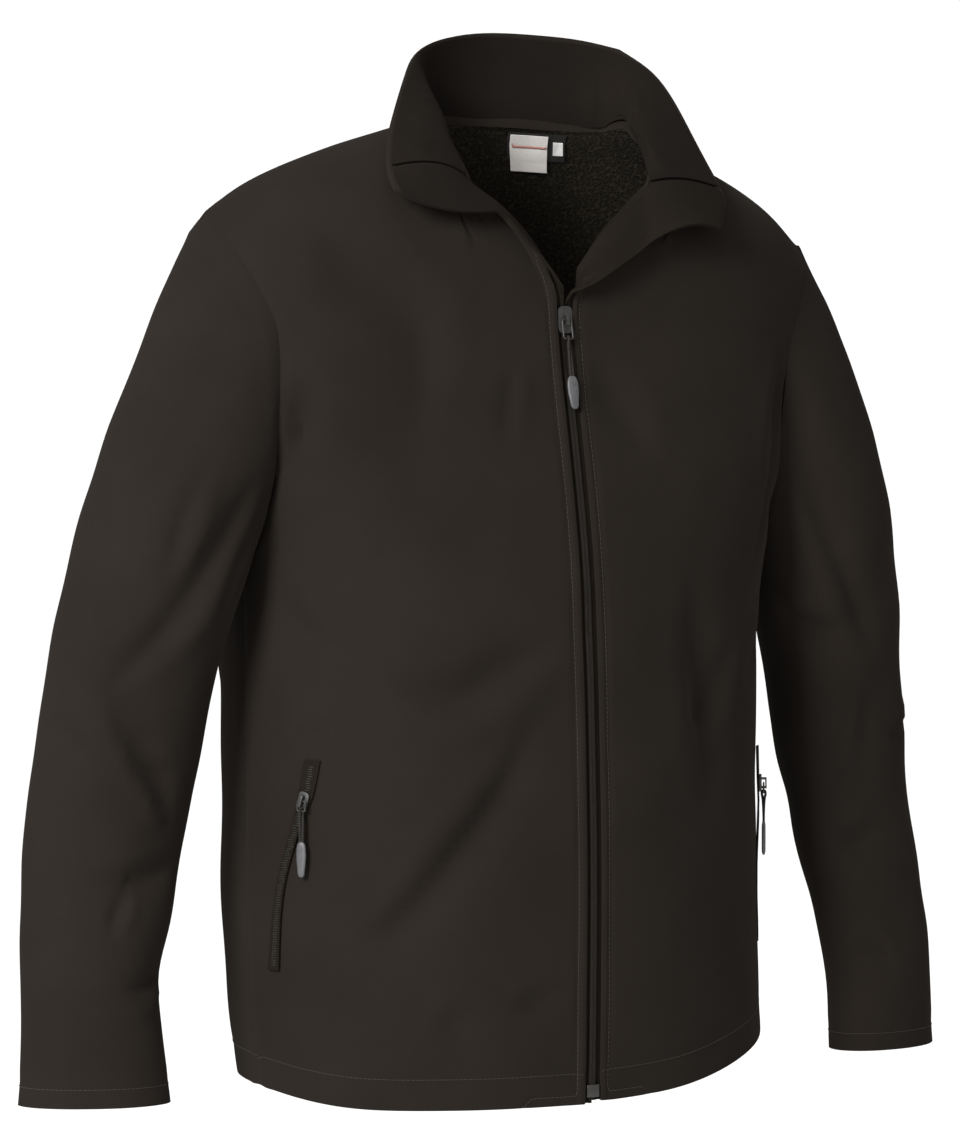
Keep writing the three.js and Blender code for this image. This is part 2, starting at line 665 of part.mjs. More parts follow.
// The point and normal at a fractional place of a grid that runs from 0 to 1 both ways.
function gridPlace(grid, normals, columnAt, rowAt) {
  const i = Math.min(Math.floor(rowAt), grid.length - 2);
  const j = Math.min(Math.floor(columnAt), grid[0].length - 2);
  const a = rowAt - i;
  const b = columnAt - j;
  const corner = (source) => {
    const [low, high] = [source[i], source[i + 1]];
    if (b >= a) {
      return low[j].clone().multiplyScalar(1 - b)
        .addScaledVector(low[j + 1], b - a).addScaledVector(high[j + 1], a);
    }
    return low[j].clone().multiplyScalar(1 - a)
      .addScaledVector(high[j], a - b).addScaledVector(high[j + 1], b);
  };
  return { point: corner(grid), normal: corner(normals).normalize() };
}

// Where in a list of rising numbers a value lies, as a fractional index.
function fractionalIndex(list, value) {
  let i = 0;
  while (i < list.length - 2 && value > list[i + 1]) i += 1;
  return i + (value - list[i]) / (list[i + 1] - list[i]);
}

// Above the armpit the rows crowd towards the shoulder, as the sleeve's columns do round the armhole.
// One more row lies where the front edges begin to turn over.
const TURNING_ROW = 7.5 / ROWS_ABOVE;
const ARMHOLE_SHARES = [...steps(0, 1, ROWS_ABOVE), TURNING_ROW].sort((a, b) => a - b);
const ROWS_RISING = ARMHOLE_SHARES.slice(1)
  .map((share) => mix(ARMPIT_V, 1, (1 - Math.cos(Math.PI * share)) / 2));
const PANEL_ROWS = [...steps(0, ARMPIT_V, ROWS_BELOW), ...ROWS_RISING];
const FRONT_US = [...steps(0, LAPEL_U, LAPEL_COLUMNS), ...steps(LAPEL_U, 1, FRONT_COLUMNS).slice(1)];
const BACK_US = steps(0, 1, BACK_COLUMNS);
const COLLAR_S = [
  ...steps(0, NECK_ROLL[RIGHT], LAPEL_COLUMNS),
  ...steps(0, 1, NECK_COLUMNS).slice(1).map((share) => neckAt(RIGHT, share)),
  ...steps(NECK_SIDE[RIGHT], NECK_SIDE[LEFT], BACK_COLUMNS - 2 * SHOULDER_COLUMNS).slice(1),
  ...steps(1, 0, NECK_COLUMNS).slice(1).map((share) => neckAt(LEFT, share)),
  ...steps(NECK_ROLL[LEFT], 1, LAPEL_COLUMNS).slice(1),
];
const HALF_GAP = SEAM_GAP / 2;
const COLLAR_GAP = 0.4;        // the collar turns sharply off the neck seam

const SHELL = { color: 0x322d28, roughness: 0.82, metalness: 0 };
const FACING = { color: 0x2c2824, roughness: 0.85, metalness: 0 };
const TAPE = { color: 0x1d1a17, roughness: 0.8, metalness: 0 };
const ENAMEL = { color: 0x1a1816, roughness: 0.4, metalness: 0.5 };
const GRIP = { color: 0x4b4b4a, roughness: 0.55, metalness: 0 };

const jacket = new THREE.Group();

function add(name, geometry, look) {
  const mesh = new THREE.Mesh(geometry, new THREE.MeshStandardMaterial(look));
  mesh.name = name;
  jacket.add(mesh);
  return mesh;
}

// Cloth pieces. Each is a sheet of outer points with its normals, and an inner face WALL behind it.

function makeSheet(rows, columns, pointAt, isTube, flip, normalAt = () => null) {
  const outer = makeGrid(rows, columns, pointAt);
  const byNeighbours = gridNormals(outer, isTube, flip);
  const normals = byNeighbours.map((row, i) => row.map((normal, j) => normalAt(columns[j], rows[i]) ?? normal));
  return { outer, isTube, normals };
}

// Sheets that meet at a seam share the normal there, so their walls end on one mitre. Pieces that fold back
// on each other keep their own.
const MITRE_LIMIT = 0.3;
const SAME_PLACE = 0.01;

function borderPlaces(sheet) {
  const rows = sheet.outer.length;
  const columns = sheet.outer[0].length;
  const places = [];
  for (let i = 0; i < rows; i += 1) {
    for (let j = 0; j < columns; j += 1) {
      const isSide = !sheet.isTube && (j === 0 || j === columns - 1);
      if (isSide || i === 0 || i === rows - 1) {
        places.push({ point: sheet.outer[i][j], normal: sheet.normals[i][j] });
      }
    }
  }
  return places;
}

function shareSeamNormals(sheets) {
  const places = sheets.flatMap(borderPlaces);
  const mitres = places.map((own) => {
    const sum = new THREE.Vector3();
    for (const other of places) {
      const isHere = other.point.distanceTo(own.point) < SAME_PLACE;
      if (isHere && other.normal.dot(own.normal) > MITRE_LIMIT) sum.add(other.normal);
    }
    return sum.normalize();
  });
  places.forEach((place, i) => place.normal.copy(mitres[i]));
}

function addSheet(name, sheet, gaps) {
  const guide = [moved(sheet.outer, sheet.normals, 0), moved(sheet.outer, sheet.normals, -WALL)];
  trimBorders(sheet.outer, gaps);
  sheet.inner = moved(sheet.outer, sheet.normals, -WALL);
  add(name, wallGeometry(sheet.outer, sheet.inner, sheet.isTube, guide), SHELL);
}

const sleeveColumns = [
  ...ARMHOLE_SHARES.slice(0, -1).map((share) => share / 2),
  ...ARMHOLE_SHARES.slice(1).reverse().map((share) => 1 - share / 2),
];
const sleeveRows = steps(0, 1, SLEEVE_RINGS);
const fronts = {};
const sleeves = {};
for (const side of [RIGHT, LEFT]) {
  fronts[side] = makeSheet(
    PANEL_ROWS, FRONT_US, (u, v) => frontPoint(side, u, v), false, side === RIGHT,
    (u, v) => frontNormal(side, u, v));
  sleeves[side] = makeSheet(sleeveRows, sleeveColumns, (w, t) => sleevePoint(side, w, t), true, side === LEFT);
}
const back = makeSheet(PANEL_ROWS, BACK_US, backPoint, false, true, backNormal);
const collar = makeSheet(COLLAR_HEIGHTS, COLLAR_S, collarPoint, false, true);
shareSeamNormals([fronts[RIGHT], fronts[LEFT], back, collar, sleeves[RIGHT], sleeves[LEFT]]);

addSheet('front_right', fronts[RIGHT], { end: HALF_GAP, high: HALF_GAP });
addSheet('front_left', fronts[LEFT], { end: HALF_GAP, high: HALF_GAP });
addSheet('back', back, { start: HALF_GAP, end: HALF_GAP, high: HALF_GAP });
addSheet('collar', collar, { low: COLLAR_GAP });
addSheet('sleeve_right', sleeves[RIGHT], { low: HALF_GAP });
addSheet('sleeve_left', sleeves[LEFT], { low: HALF_GAP });

// The collar's inner layer, between the two zip tapes and a little short of the collar's own edges.

const FACING_ROWS = [1, COLLAR_HEIGHTS.length - 1];
const FACING_SETBACK = 7;
const FACING_CLEARANCE = 1.2;
const FACING_GAP = 4;

function addFacing() {
  const cut = (grid) => grid.slice(...FACING_ROWS).map((row) => row.slice(LAPEL_COLUMNS, -LAPEL_COLUMNS));
  const outer = moved(cut(collar.inner), cut(collar.normals), -FACING_CLEARANCE);
  trimBorders(outer, { start: FACING_GAP, end: FACING_GAP, low: FACING_SETBACK });
  const inner = moved(outer, cut(collar.normals), -FACING_WALL);
  add('collar_facing', wallGeometry(outer, inner, false), FACING);
}

addFacing();

// Zip tapes. Each lies behind the columns beyond a front's roll line and behind the collar's end, and the
// chain stands out of its free edge.

const TAPE_BEYOND = [TAPE_PROUD, TAPE_PROUD - CHAIN_WIDTH + 0.3, TAPE_PROUD - CHAIN_WIDTH];
const TAPE_RISE = [CHAIN_RISE, CHAIN_RISE, 0];

function addTape(side, name) {
  const rowsOf = (sheet, from, to, isMirrored) => sheet.inner.slice(from, to).map((points, i) => {
    const normals = sheet.normals[from + i];
    return isMirrored
      ? { points: [...points].reverse(), normals: [...normals].reverse() }
      : { points, normals };
  });
  const rows = [
    ...rowsOf(fronts[side], 0, PANEL_ROWS.length - 1, false),
    ...rowsOf(collar, 1, COLLAR_HEIGHTS.length - 1, side === LEFT),
  ];
  const front = [];
  const behind = [];
  for (const row of rows) {
    const covered = row.points.slice(0, LAPEL_COLUMNS + 1)
      .map((point, j) => point.clone().addScaledVector(row.normals[j], -TAPE_CLEARANCE));
    const outward = covered[0].clone().sub(covered[1]).normalize();
    const beyond = TAPE_BEYOND.map((distance) => covered[0].clone().addScaledVector(outward, distance));
    front.push([
      ...beyond.map((point, j) => point.clone().addScaledVector(row.normals[0], TAPE_RISE[j])),
      ...covered,
    ]);
    behind.push([
      ...beyond.map((point) => point.clone().addScaledVector(row.normals[0], -TAPE_WALL)),
      ...covered.map((point, j) => point.clone().addScaledVector(row.normals[j], -TAPE_WALL)),
    ]);
  }
  add(name, wallGeometry(front, behind, false), TAPE);
}

addTape(RIGHT, 'zip_tape_right');
addTape(LEFT, 'zip_tape_left');

// Hard pieces, joined from plain blocks

const wasm = await Module();
wasm.setup();

function solid(geometry) {
  const bare = geometry.clone();
  bare.deleteAttribute('normal');
  bare.deleteAttribute('uv');
  const merged = mergeVertices(bare, 1e-4);
  return new wasm.Manifold(new wasm.Mesh({
    numProp: 3,
    vertProperties: new Float32Array(merged.attributes.position.array),
    triVerts: new Uint32Array(merged.index.array),
  }));
}

function join(geometries) {
  const whole = geometries.map(solid).reduce((a, b) => a.add(b));
  const mesh = whole.getMesh();
  const geometry = new THREE.BufferGeometry();
  geometry.setAttribute('position', new THREE.BufferAttribute(new Float32Array(mesh.vertProperties), 3));
  geometry.setIndex(Array.from(mesh.triVerts));
  geometry.computeVertexNormals();
  return geometry;
}

// A block by its lowest and highest corners: x across the zip, y inward, z up the zip.
function block(x0, x1, y0, y1, z0, z1) {
  return new THREE.BoxGeometry(x1 - x0, y1 - y0, z1 - z0)
    .translate((x0 + x1) / 2, (y0 + y1) / 2, (z0 + z1) / 2);
}

// A flat plate with round corners, standing in the plane of the zip.
function roundPlate(width, length, radius, thickness, topZ, outerY) {
  const shape = new THREE.Shape();
  const x = width / 2 - radius;
  const z = length - radius;
  shape.absarc(x, -radius, radius, 0, Math.PI / 2, false);
  shape.absarc(-x, -radius, radius, Math.PI / 2, Math.PI, false);
  shape.absarc(-x, -z, radius, Math.PI, 1.5 * Math.PI, false);
  shape.absarc(x, -z, radius, 1.5 * Math.PI, 2 * Math.PI, false);
  return new THREE.ExtrudeGeometry(shape, { depth: thickness, bevelEnabled: false, curveSegments: 4 })
    .rotateX(Math.PI / 2)
    .translate(0, outerY + thickness, topZ);
}

// Sizes of one zip's hard pieces. Outer and inner are depths from the cloth's outer face, below 0 outside it.
const MAIN_ZIP = {
  plateWidth: 11.6, plateLength: 20, plateOuter: -1.5, plateInner: 0.1, barOut: 3.1,
  loopWidth: 9, loopLength: 15, cordLength: 28, gripWidth: 9, gripLength: 25,
};
const POCKET_ZIP = {
  plateWidth: 8.4, plateLength: 13, plateOuter: -4.2, plateInner: -2.6, barOut: 5.8,
  loopWidth: 7.6, loopLength: 8, cordLength: 22, gripWidth: 7.6, gripLength: 26,
};
const ARCH_HALF = 1.1;
const ARCH_LEG = 1.2;
const ARCH_REACH = 4.2;
const ARCH_WALL = 1.1;
const BAR_HALF = 0.7;
const BAR_PLAY = 0.5;
const ARM_WIDTH = 1.2;
const CORD_HALF = 1.5;
const GRIP_HALF = 1.5;

// The slider's plate and the arch that its pull tab hangs in. y 0 is the outer face of the cloth.
function sliderBlocks(zip) {
  const top = -zip.barOut - BAR_HALF - BAR_PLAY;
  const legs = [-ARCH_REACH, ARCH_REACH - ARCH_LEG]
    .map((z) => block(-ARCH_HALF, ARCH_HALF, top, zip.plateOuter + 0.2, z, z + ARCH_LEG));
  const arch = block(-ARCH_HALF, ARCH_HALF, top - ARCH_WALL, top, -ARCH_REACH, ARCH_REACH);
  const plate = roundPlate(
    zip.plateWidth, zip.plateLength, zip.plateWidth / 3, zip.plateInner - zip.plateOuter,
    zip.plateLength / 2, zip.plateOuter);
  return [plate, ...legs, arch];
}

// The pull tab hangs from its bar, which lies at the origin here: two arms, a cord and a moulded grip, one
// stiff piece.
function pullBlocks(zip) {
  const half = zip.loopWidth / 2;
  const low = -zip.loopLength;
  const bar = block(-half, half, -BAR_HALF, BAR_HALF, -BAR_HALF, BAR_HALF);
  const arms = [-half, half - ARM_WIDTH]
    .map((x) => block(x, x + ARM_WIDTH, -BAR_HALF, BAR_HALF, low, BAR_HALF));
  const foot = block(-half, half, -BAR_HALF, BAR_HALF, low - ARM_WIDTH, low);
  const cord = block(-CORD_HALF, CORD_HALF, -0.9, 0.9, low - zip.cordLength, low - 1);
  const grip = roundPlate(
    zip.gripWidth, zip.gripLength, zip.gripWidth / 2 - 0.3, 2 * GRIP_HALF, low - zip.cordLength + 1,
    -GRIP_HALF);
  return [bar, ...arms, foot, cord, grip];
}

// A frame on the cloth: x across the zip, z up it, y inward.
function frameOn(point, up, outward) {
  const y = outward.clone().negate();
  const x = y.clone().cross(up).normalize();
  const z = x.clone().cross(y);
  return new THREE.Matrix4().makeBasis(x, y, z).setPosition(point);
}

// The pull hangs from the slider's bar along pullUp, its flat side facing pullOut.
function addZipHardware(zip, frame, pullUp, pullOut, sliderName, pullName) {
  const bar = new THREE.Vector3(0, -zip.barOut, 0).applyMatrix4(frame);
  add(sliderName, join(sliderBlocks(zip)), ENAMEL).applyMatrix4(frame);
  add(pullName, join(pullBlocks(zip)), GRIP).applyMatrix4(frameOn(bar, pullUp, pullOut));
}

// The main slider sits on the closed chain between the two front edges. Its pull lies along the front.
const ACROSS = new THREE.Vector3(1, 0, 0);
const SLIDER_SPAN = 12;
const PULL_SPAN = 66;

function onCentreLine(z) {
  return torsoPoint(angleAt(0, z, true), z);
}

function frontLine(high, low) {
  return onCentreLine(high).sub(onCentreLine(low)).normalize();
}

const sliderUp = frontLine(SLIDER_Z + SLIDER_SPAN, SLIDER_Z - SLIDER_SPAN);
const pullUp = frontLine(SLIDER_Z, SLIDER_Z - PULL_SPAN);
addZipHardware(
  MAIN_ZIP, frameOn(onCentreLine(SLIDER_Z), sliderUp, ACROSS.clone().cross(sliderUp).normalize()),
  pullUp, ACROSS.clone().cross(pullUp).normalize(), 'zip_slider', 'zip_pull');

// The retaining box at the foot of the zip, in front of the chain's last turns.
const BOX = { width: 10, height: 9, outer: -0.4, inner: 0.6 };
const boxPoint = onCentreLine(HEM_Z + 7);
const boxFrame = frameOn(boxPoint, new THREE.Vector3(0, 0, 1), new THREE.Vector3(0, -1, 0));
const boxBlock = block(-BOX.width / 2, BOX.width / 2, BOX.outer, BOX.inner, -BOX.height / 2, BOX.height / 2);
add('zip_box', join([boxBlock]), ENAMEL).applyMatrix4(boxFrame);

// Hand pocket zips. Each row is a place on the front, by angle and height.

const POCKET_LINE = table(['share', 'angle', 'z', 'half'], [
  [0, -62.6, -470, 6.4],
  [0.16, -64.6, -494, 6.0],
  [0.3, -67.6, -516, 4.0],
  [0.6, -73.4, -562, 3.6],
  [1, -77.4, -622, 5.6],
]);
const POCKET_STEPS = 18;
const POCKET_WALL = 1.2;
const POCKET_SLIDER_SHARE = 0.19;

// The fractional row and column of a front's grid at an angle and a height below the armpit.
function findOnFront(side, angle, z) {
  const hem = hemHeight(angle);
  const v = (ARMPIT_V * (z - hem)) / (ARMPIT_Z - hem);
  const start = rollLine(side, v).angle;
  const main = (angle - start) / (side * 90 - start);
  const u = LAPEL_U + (1 - LAPEL_U) * main;
  return { row: fractionalIndex(PANEL_ROWS, v), column: fractionalIndex(FRONT_US, u) };
}

function onFront(side, angle, z) {
  const at = findOnFront(side, angle, z);
  return gridPlace(fronts[side].outer, fronts[side].normals, at.column, at.row);
}

function pocketPlace(side, share, across) {
  const row = POCKET_LINE(share);
  const centre = onFront(side, -side * row.angle, row.z);
  const beside = onFront(side, -side * row.angle + side, row.z);
  const perDegree = beside.point.distanceTo(centre.point);
  return onFront(side, -side * row.angle + (side * across * row.half) / perDegree, row.z);
}

function addPocket(side, suffix) {
  const shares = steps(0, 1, POCKET_STEPS);
  const outer = shares.map((share) => [-1, 0, 1].map((across) => {
    const place = pocketPlace(side, share, across);
    return place.point.addScaledVector(place.normal, TAPE_CLEARANCE + POCKET_WALL);
  }));
  const normals = shares.map((share) => [-1, 0, 1].map((across) => pocketPlace(side, share, across).normal));
  add(`pocket_zip_${suffix}`, wallGeometry(outer, moved(outer, normals, -POCKET_WALL), false), TAPE);
  const at = pocketPlace(side, POCKET_SLIDER_SHARE, 0);
  const above = pocketPlace(side, POCKET_SLIDER_SHARE - 0.1, 0).point;
  const up = above.clone().sub(pocketPlace(side, POCKET_SLIDER_SHARE + 0.1, 0).point).normalize();
  const plumb = new THREE.Vector3(0, 0, 1);
  const level = new THREE.Vector3(at.normal.x, at.normal.y, 0).normalize();
  addZipHardware(
    POCKET_ZIP, frameOn(at.point, up, at.normal), plumb, level, `pocket_slider_${suffix}`, `pocket_pull_${suffix}`);
}

addPocket(RIGHT, 'right');
addPocket(LEFT, 'left');

// Neck label, sewn to the inside of the back just below the collar seam. All of it is blank. It hangs plumb,
// so its edges lean across the back's own columns.

const LABEL_LEAN = 0.6;
const LABELS = [
  { name: 'label_base', u: [0.517, 0.616], v: [0.972, 0.9976], lift: 0.6, wall: 0.6, color: 0x14120f },
  { name: 'label_patch', u: [0.52, 0.584], v: [0.961, 0.9962], lift: 1.8, wall: 0.5, color: 0xdcd8d2 },
  { name: 'label_tag', u: [0.595, 0.612], v: [0.979, 0.992], lift: 1.8, wall: 0.5, color: 0xc9c4bd },
];

function addLabel(label) {
  const rows = steps(label.v[0], label.v[1], 4);
  const columns = steps(label.u[0], label.u[1], 4);
  const placeAt = (u, v) => gridPlace(
    back.inner, back.normals, fractionalIndex(BACK_US, u + LABEL_LEAN * (1 - v)), fractionalIndex(PANEL_ROWS, v));
  const places = rows.map((v) => columns.map((u) => placeAt(u, v)));
  const points = places.map((row) => row.map((place) => place.point));
  const normals = places.map((row) => row.map((place) => place.normal));
  const outer = moved(points, normals, -label.lift);
  add(label.name, wallGeometry(outer, moved(outer, normals, -label.wall), false),
    { color: label.color, roughness: 0.7, metalness: 0 });
}

LABELS.forEach(addLabel);

export default jacket;
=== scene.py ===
"""A softshell jacket, filled out as on an unseen form, dressed around its CAD frame.

Sizes are in millimetres in the tables and in metres once MM is applied. The wearer's right is -X, the front
faces -Y and z is up.
"""

import math

import bmesh
import bpy
import numpy as np
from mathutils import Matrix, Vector, kdtree
from mathutils.bvhtree import BVHTree


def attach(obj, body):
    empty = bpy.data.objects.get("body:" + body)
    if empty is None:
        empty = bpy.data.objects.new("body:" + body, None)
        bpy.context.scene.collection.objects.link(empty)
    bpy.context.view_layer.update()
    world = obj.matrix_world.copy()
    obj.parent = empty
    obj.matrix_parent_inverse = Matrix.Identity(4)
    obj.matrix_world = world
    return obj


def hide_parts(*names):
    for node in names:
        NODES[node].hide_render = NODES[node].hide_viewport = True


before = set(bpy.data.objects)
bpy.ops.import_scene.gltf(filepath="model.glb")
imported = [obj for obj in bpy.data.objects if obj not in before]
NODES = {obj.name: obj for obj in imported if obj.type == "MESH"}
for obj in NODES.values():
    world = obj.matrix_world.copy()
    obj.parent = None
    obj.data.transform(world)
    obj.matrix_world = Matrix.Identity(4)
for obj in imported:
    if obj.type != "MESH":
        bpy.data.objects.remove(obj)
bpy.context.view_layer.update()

MM = 0.001
JACKET = "jacket"
PANELS = ["front_right", "front_left", "back"]
SLEEVES = ["sleeve_right", "sleeve_left"]

# Camera

VIEW_AZIMUTH = -29.0
VIEW_DISTANCE = 3.4
VIEW_HEIGHT = -0.25
VIEW_OFFSET = -0.02            # sideways, along the picture's right
PHOTO_HEIGHT = 1148
HORIZON_ROW = 456
FOCAL_PIXELS = 4528
SENSOR_MM = 36.0
CLIP_START, CLIP_END = 0.1, 60


def make_camera():
    data = bpy.data.cameras.new("camera")
    camera = bpy.data.objects.new("camera", data)
    bpy.context.scene.collection.objects.link(camera)
    azimuth = math.radians(VIEW_AZIMUTH)
    right = Vector((math.cos(azimuth), math.sin(azimuth), 0))
    toward = Vector((math.sin(azimuth), -math.cos(azimuth), 0))
    camera.location = right * VIEW_OFFSET + toward * VIEW_DISTANCE + Vector((0, 0, VIEW_HEIGHT))
    camera.rotation_mode = "QUATERNION"
    camera.rotation_quaternion = (-toward).to_track_quat("-Z", "Y")
    data.sensor_width = SENSOR_MM
    data.lens = FOCAL_PIXELS / PHOTO_HEIGHT * SENSOR_MM
    data.shift_y = (HORIZON_ROW - PHOTO_HEIGHT / 2) / PHOTO_HEIGHT
    data.clip_start, data.clip_end = CLIP_START, CLIP_END
    bpy.context.scene.camera = camera


make_camera()

# Materials


class Nodes:
    """Adds and links nodes in one material."""

    def __init__(self, name):
        self.material = bpy.data.materials.new(name)
        self.material.use_nodes = True
        self.tree = self.material.node_tree
        self.shader = self.tree.nodes["Principled BSDF"]

    def add(self, kind, inputs=None, **settings):
        node = self.tree.nodes.new(kind)
        for key, value in settings.items():
            setattr(node, key, value)
        for key, value in (inputs or {}).items():
            if isinstance(value, bpy.types.NodeSocket):
                self.tree.links.new(value, node.inputs[key])
            else:
                node.inputs[key].default_value = value
        return node

    def link(self, socket, name):
        self.tree.links.new(socket, self.shader.inputs[name])

    def set(self, **values):
        for key, value in values.items():
            self.shader.inputs[key.replace("_", " ")].default_value = value

    def place(self):
        return self.add("ShaderNodeTexCoord").outputs["Object"]

    def noise(self, scale, detail=3.0, rough=0.55):
        node = self.add("ShaderNodeTexNoise", {
            "Vector": self.place(), "Scale": scale, "Detail": detail, "Roughness": rough})
        return node.outputs["Fac"]

    def ramp(self, value, stops):
        node = self.add("ShaderNodeValToRGB", {"Fac": value})
        elements = node.color_ramp.elements
        while len(elements) < len(stops):
            elements.new(0.5)
        for element, (place, colour) in zip(elements, stops):
            element.position = place
            element.color = (*colour, 1)
        return node.outputs["Color"]

    def bump(self, height, strength, distance, normal=None):
        inputs = {"Height": height, "Strength": strength, "Distance": distance}
        if normal is not None:
            inputs["Normal"] = normal
        return self.add("ShaderNodeBump", inputs).outputs["Normal"]

    def math(self, operation, a, b):
        return self.add("ShaderNodeMath", {0: a, 1: b}, operation=operation).outputs[0]


def scaled(colour, factor):
    return tuple(channel * factor for channel in colour)


def weave_height(nodes, pitch):
    """Fine twill: two crossed sets of ribs on the object's own coordinates."""
    waves = []
    for turn in (math.radians(38), math.radians(-52)):
        mapping = nodes.add("ShaderNodeMapping", {
            "Vector": nodes.place(), "Rotation": (turn, turn * 0.4, turn)})
        wave = nodes.add("ShaderNodeTexWave", {
            "Vector": mapping.outputs[0], "Scale": 0.31 / pitch, "Distortion": 0.6, "Detail": 1.0})
        waves.append(wave.outputs["Fac"])
    return nodes.math("MULTIPLY", waves[0], waves[1])


SHELL_COLOUR = (0.0084, 0.0069, 0.0058)
LINING_COLOUR = (0.0125, 0.0106, 0.0078)
TAPE_COLOUR = (0.0056, 0.0045, 0.0035)
COIL_COLOURS = (0.004, 0.0035, 0.003), (0.011, 0.01, 0.0085)
ENAMEL_COLOURS = (0.007, 0.0065, 0.006), (0.02, 0.019, 0.018)
CORD_COLOURS = (0.005, 0.0045, 0.004), (0.015, 0.0135, 0.012)
GRIP_COLOURS = (0.026, 0.026, 0.027), (0.045, 0.045, 0.047)
THREAD_COLOURS = (0.012, 0.0102, 0.0085), (0.026, 0.0225, 0.019)
FLOOR_TONES = (0.985, 0.985, 0.985), (0.998, 0.998, 0.998)
LABEL_BASE, LABEL_PATCH, LABEL_TAG = (0.008, 0.0072, 0.0065), (0.6, 0.57, 0.54), (0.52, 0.51, 0.5)
STRIPE_COLOUR = (0.26, 0.125, 0.105)


def shell_material(name, colour, roughness=0.82, sheen=0.015):
    """Matt stretch cloth: a fine weave, slow tonal drift and a soft sheen."""
    nodes = Nodes(name)
    drift = nodes.noise(9.0, 4.0, 0.6)
    grain = nodes.noise(900.0, 2.0, 0.7)
    mixed = nodes.math("ADD", nodes.math("MULTIPLY", drift, 0.75), nodes.math("MULTIPLY", grain, 0.25))
    nodes.link(nodes.ramp(mixed, [(0.3, scaled(colour, 0.88)), (0.7, scaled(colour, 1.12))]), "Base Color")
    smoother, rougher = (roughness - 0.06,) * 3, (roughness + 0.06,) * 3
    nodes.link(nodes.ramp(grain, [(0.2, smoother), (0.8, rougher)]), "Roughness")
    soft = nodes.bump(nodes.noise(60.0, 3.0, 0.5), 0.10, 0.0012)
    nodes.link(nodes.bump(weave_height(nodes, 0.0007), 0.22, 0.00025, soft), "Normal")
    nodes.set(Specular_IOR_Level=0.0, Sheen_Weight=sheen, Sheen_Roughness=0.45)
    nodes.set(Sheen_Tint=(0.75, 0.68, 0.6, 1))
    return nodes.material


def fleece_material():
    """Brushed fleece back: speckled tufts."""
    nodes = Nodes("fleece")
    tufts = nodes.add("ShaderNodeTexVoronoi", {"Vector": nodes.place(), "Scale": 420.0, "Randomness": 1.0})
    fine = nodes.noise(700.0, 4.0, 0.7)
    speck = nodes.math("MULTIPLY", tufts.outputs["Distance"], fine)
    stops = [(0.1, scaled(LINING_COLOUR, 0.45)), (0.32, LINING_COLOUR), (0.55, scaled(LINING_COLOUR, 2.2))]
    nodes.link(nodes.ramp(speck, stops), "Base Color")
    nodes.link(nodes.bump(speck, 0.8, 0.0012), "Normal")
    nodes.set(Roughness=0.95, Specular_IOR_Level=0.0, Sheen_Weight=0.01, Sheen_Roughness=0.6)
    return nodes.material


def tape_material():
    """Woven zip tape: fine ribs across it."""
    nodes = Nodes("tape")
    grain = nodes.noise(1400.0, 3.0, 0.7)
    stops = [(0.3, scaled(TAPE_COLOUR, 0.7)), (0.75, scaled(TAPE_COLOUR, 1.5))]
    nodes.link(nodes.ramp(grain, stops), "Base Color")
    nodes.link(nodes.bump(weave_height(nodes, 0.0009), 0.5, 0.0004), "Normal")
    nodes.set(Roughness=0.85, Specular_IOR_Level=0.01)
    return nodes.material


def coil_material():
    """Moulded nylon: smooth, with faint wear."""
    nodes = Nodes("coil")
    wear = nodes.noise(300.0, 3.0, 0.6)
    nodes.link(nodes.ramp(wear, [(0.3, COIL_COLOURS[0]), (0.8, COIL_COLOURS[1])]), "Base Color")
    nodes.link(nodes.bump(wear, 0.1, 0.0002), "Normal")
    nodes.set(Roughness=0.5, Specular_IOR_Level=0.16)
    return nodes.material


def enamel_material():
    """Black painted zip metal with rubbed edges."""
    nodes = Nodes("enamel")
    scratch = nodes.noise(500.0, 5.0, 0.65)
    nodes.link(nodes.ramp(scratch, [(0.35, ENAMEL_COLOURS[0]), (0.8, ENAMEL_COLOURS[1])]), "Base Color")
    nodes.link(nodes.ramp(scratch, [(0.3, (0.38,) * 3), (0.8, (0.58,) * 3)]), "Roughness")
    nodes.link(nodes.bump(scratch, 0.12, 0.0002), "Normal")
    nodes.set(Metallic=0.1, Specular_IOR_Level=0.3)
    return nodes.material


def cord_material():
    """Braided cord."""
    nodes = Nodes("cord")
    braid = nodes.add("ShaderNodeTexWave", {
        "Vector": nodes.place(), "Scale": 260.0, "Distortion": 2.0, "Detail": 1.0}, bands_direction="Z")
    stops = [(0.1, CORD_COLOURS[0]), (0.9, CORD_COLOURS[1])]
    nodes.link(nodes.ramp(braid.outputs["Fac"], stops), "Base Color")
    nodes.link(nodes.bump(braid.outputs["Fac"], 0.6, 0.0005), "Normal")
    nodes.set(Roughness=0.75, Specular_IOR_Level=0.1)
    return nodes.material


def grip_material():
    """Moulded grey puller tip, slightly mottled."""
    nodes = Nodes("grip")
    mottle = nodes.noise(160.0, 3.0, 0.6)
    nodes.link(nodes.ramp(mottle, [(0.3, GRIP_COLOURS[0]), (0.75, GRIP_COLOURS[1])]), "Base Color")
    nodes.link(nodes.bump(nodes.noise(900.0), 0.1, 0.0002), "Normal")
    nodes.set(Roughness=0.5, Specular_IOR_Level=0.3)
    return nodes.material


def thread_material():
    """Twisted sewing thread."""
    nodes = Nodes("thread")
    fibre = nodes.noise(2500.0, 2.0, 0.6)
    nodes.link(nodes.ramp(fibre, [(0.3, THREAD_COLOURS[0]), (0.8, THREAD_COLOURS[1])]), "Base Color")
    nodes.link(nodes.bump(fibre, 0.3, 0.0002), "Normal")
    nodes.set(Roughness=0.7, Specular_IOR_Level=0.08)
    return nodes.material


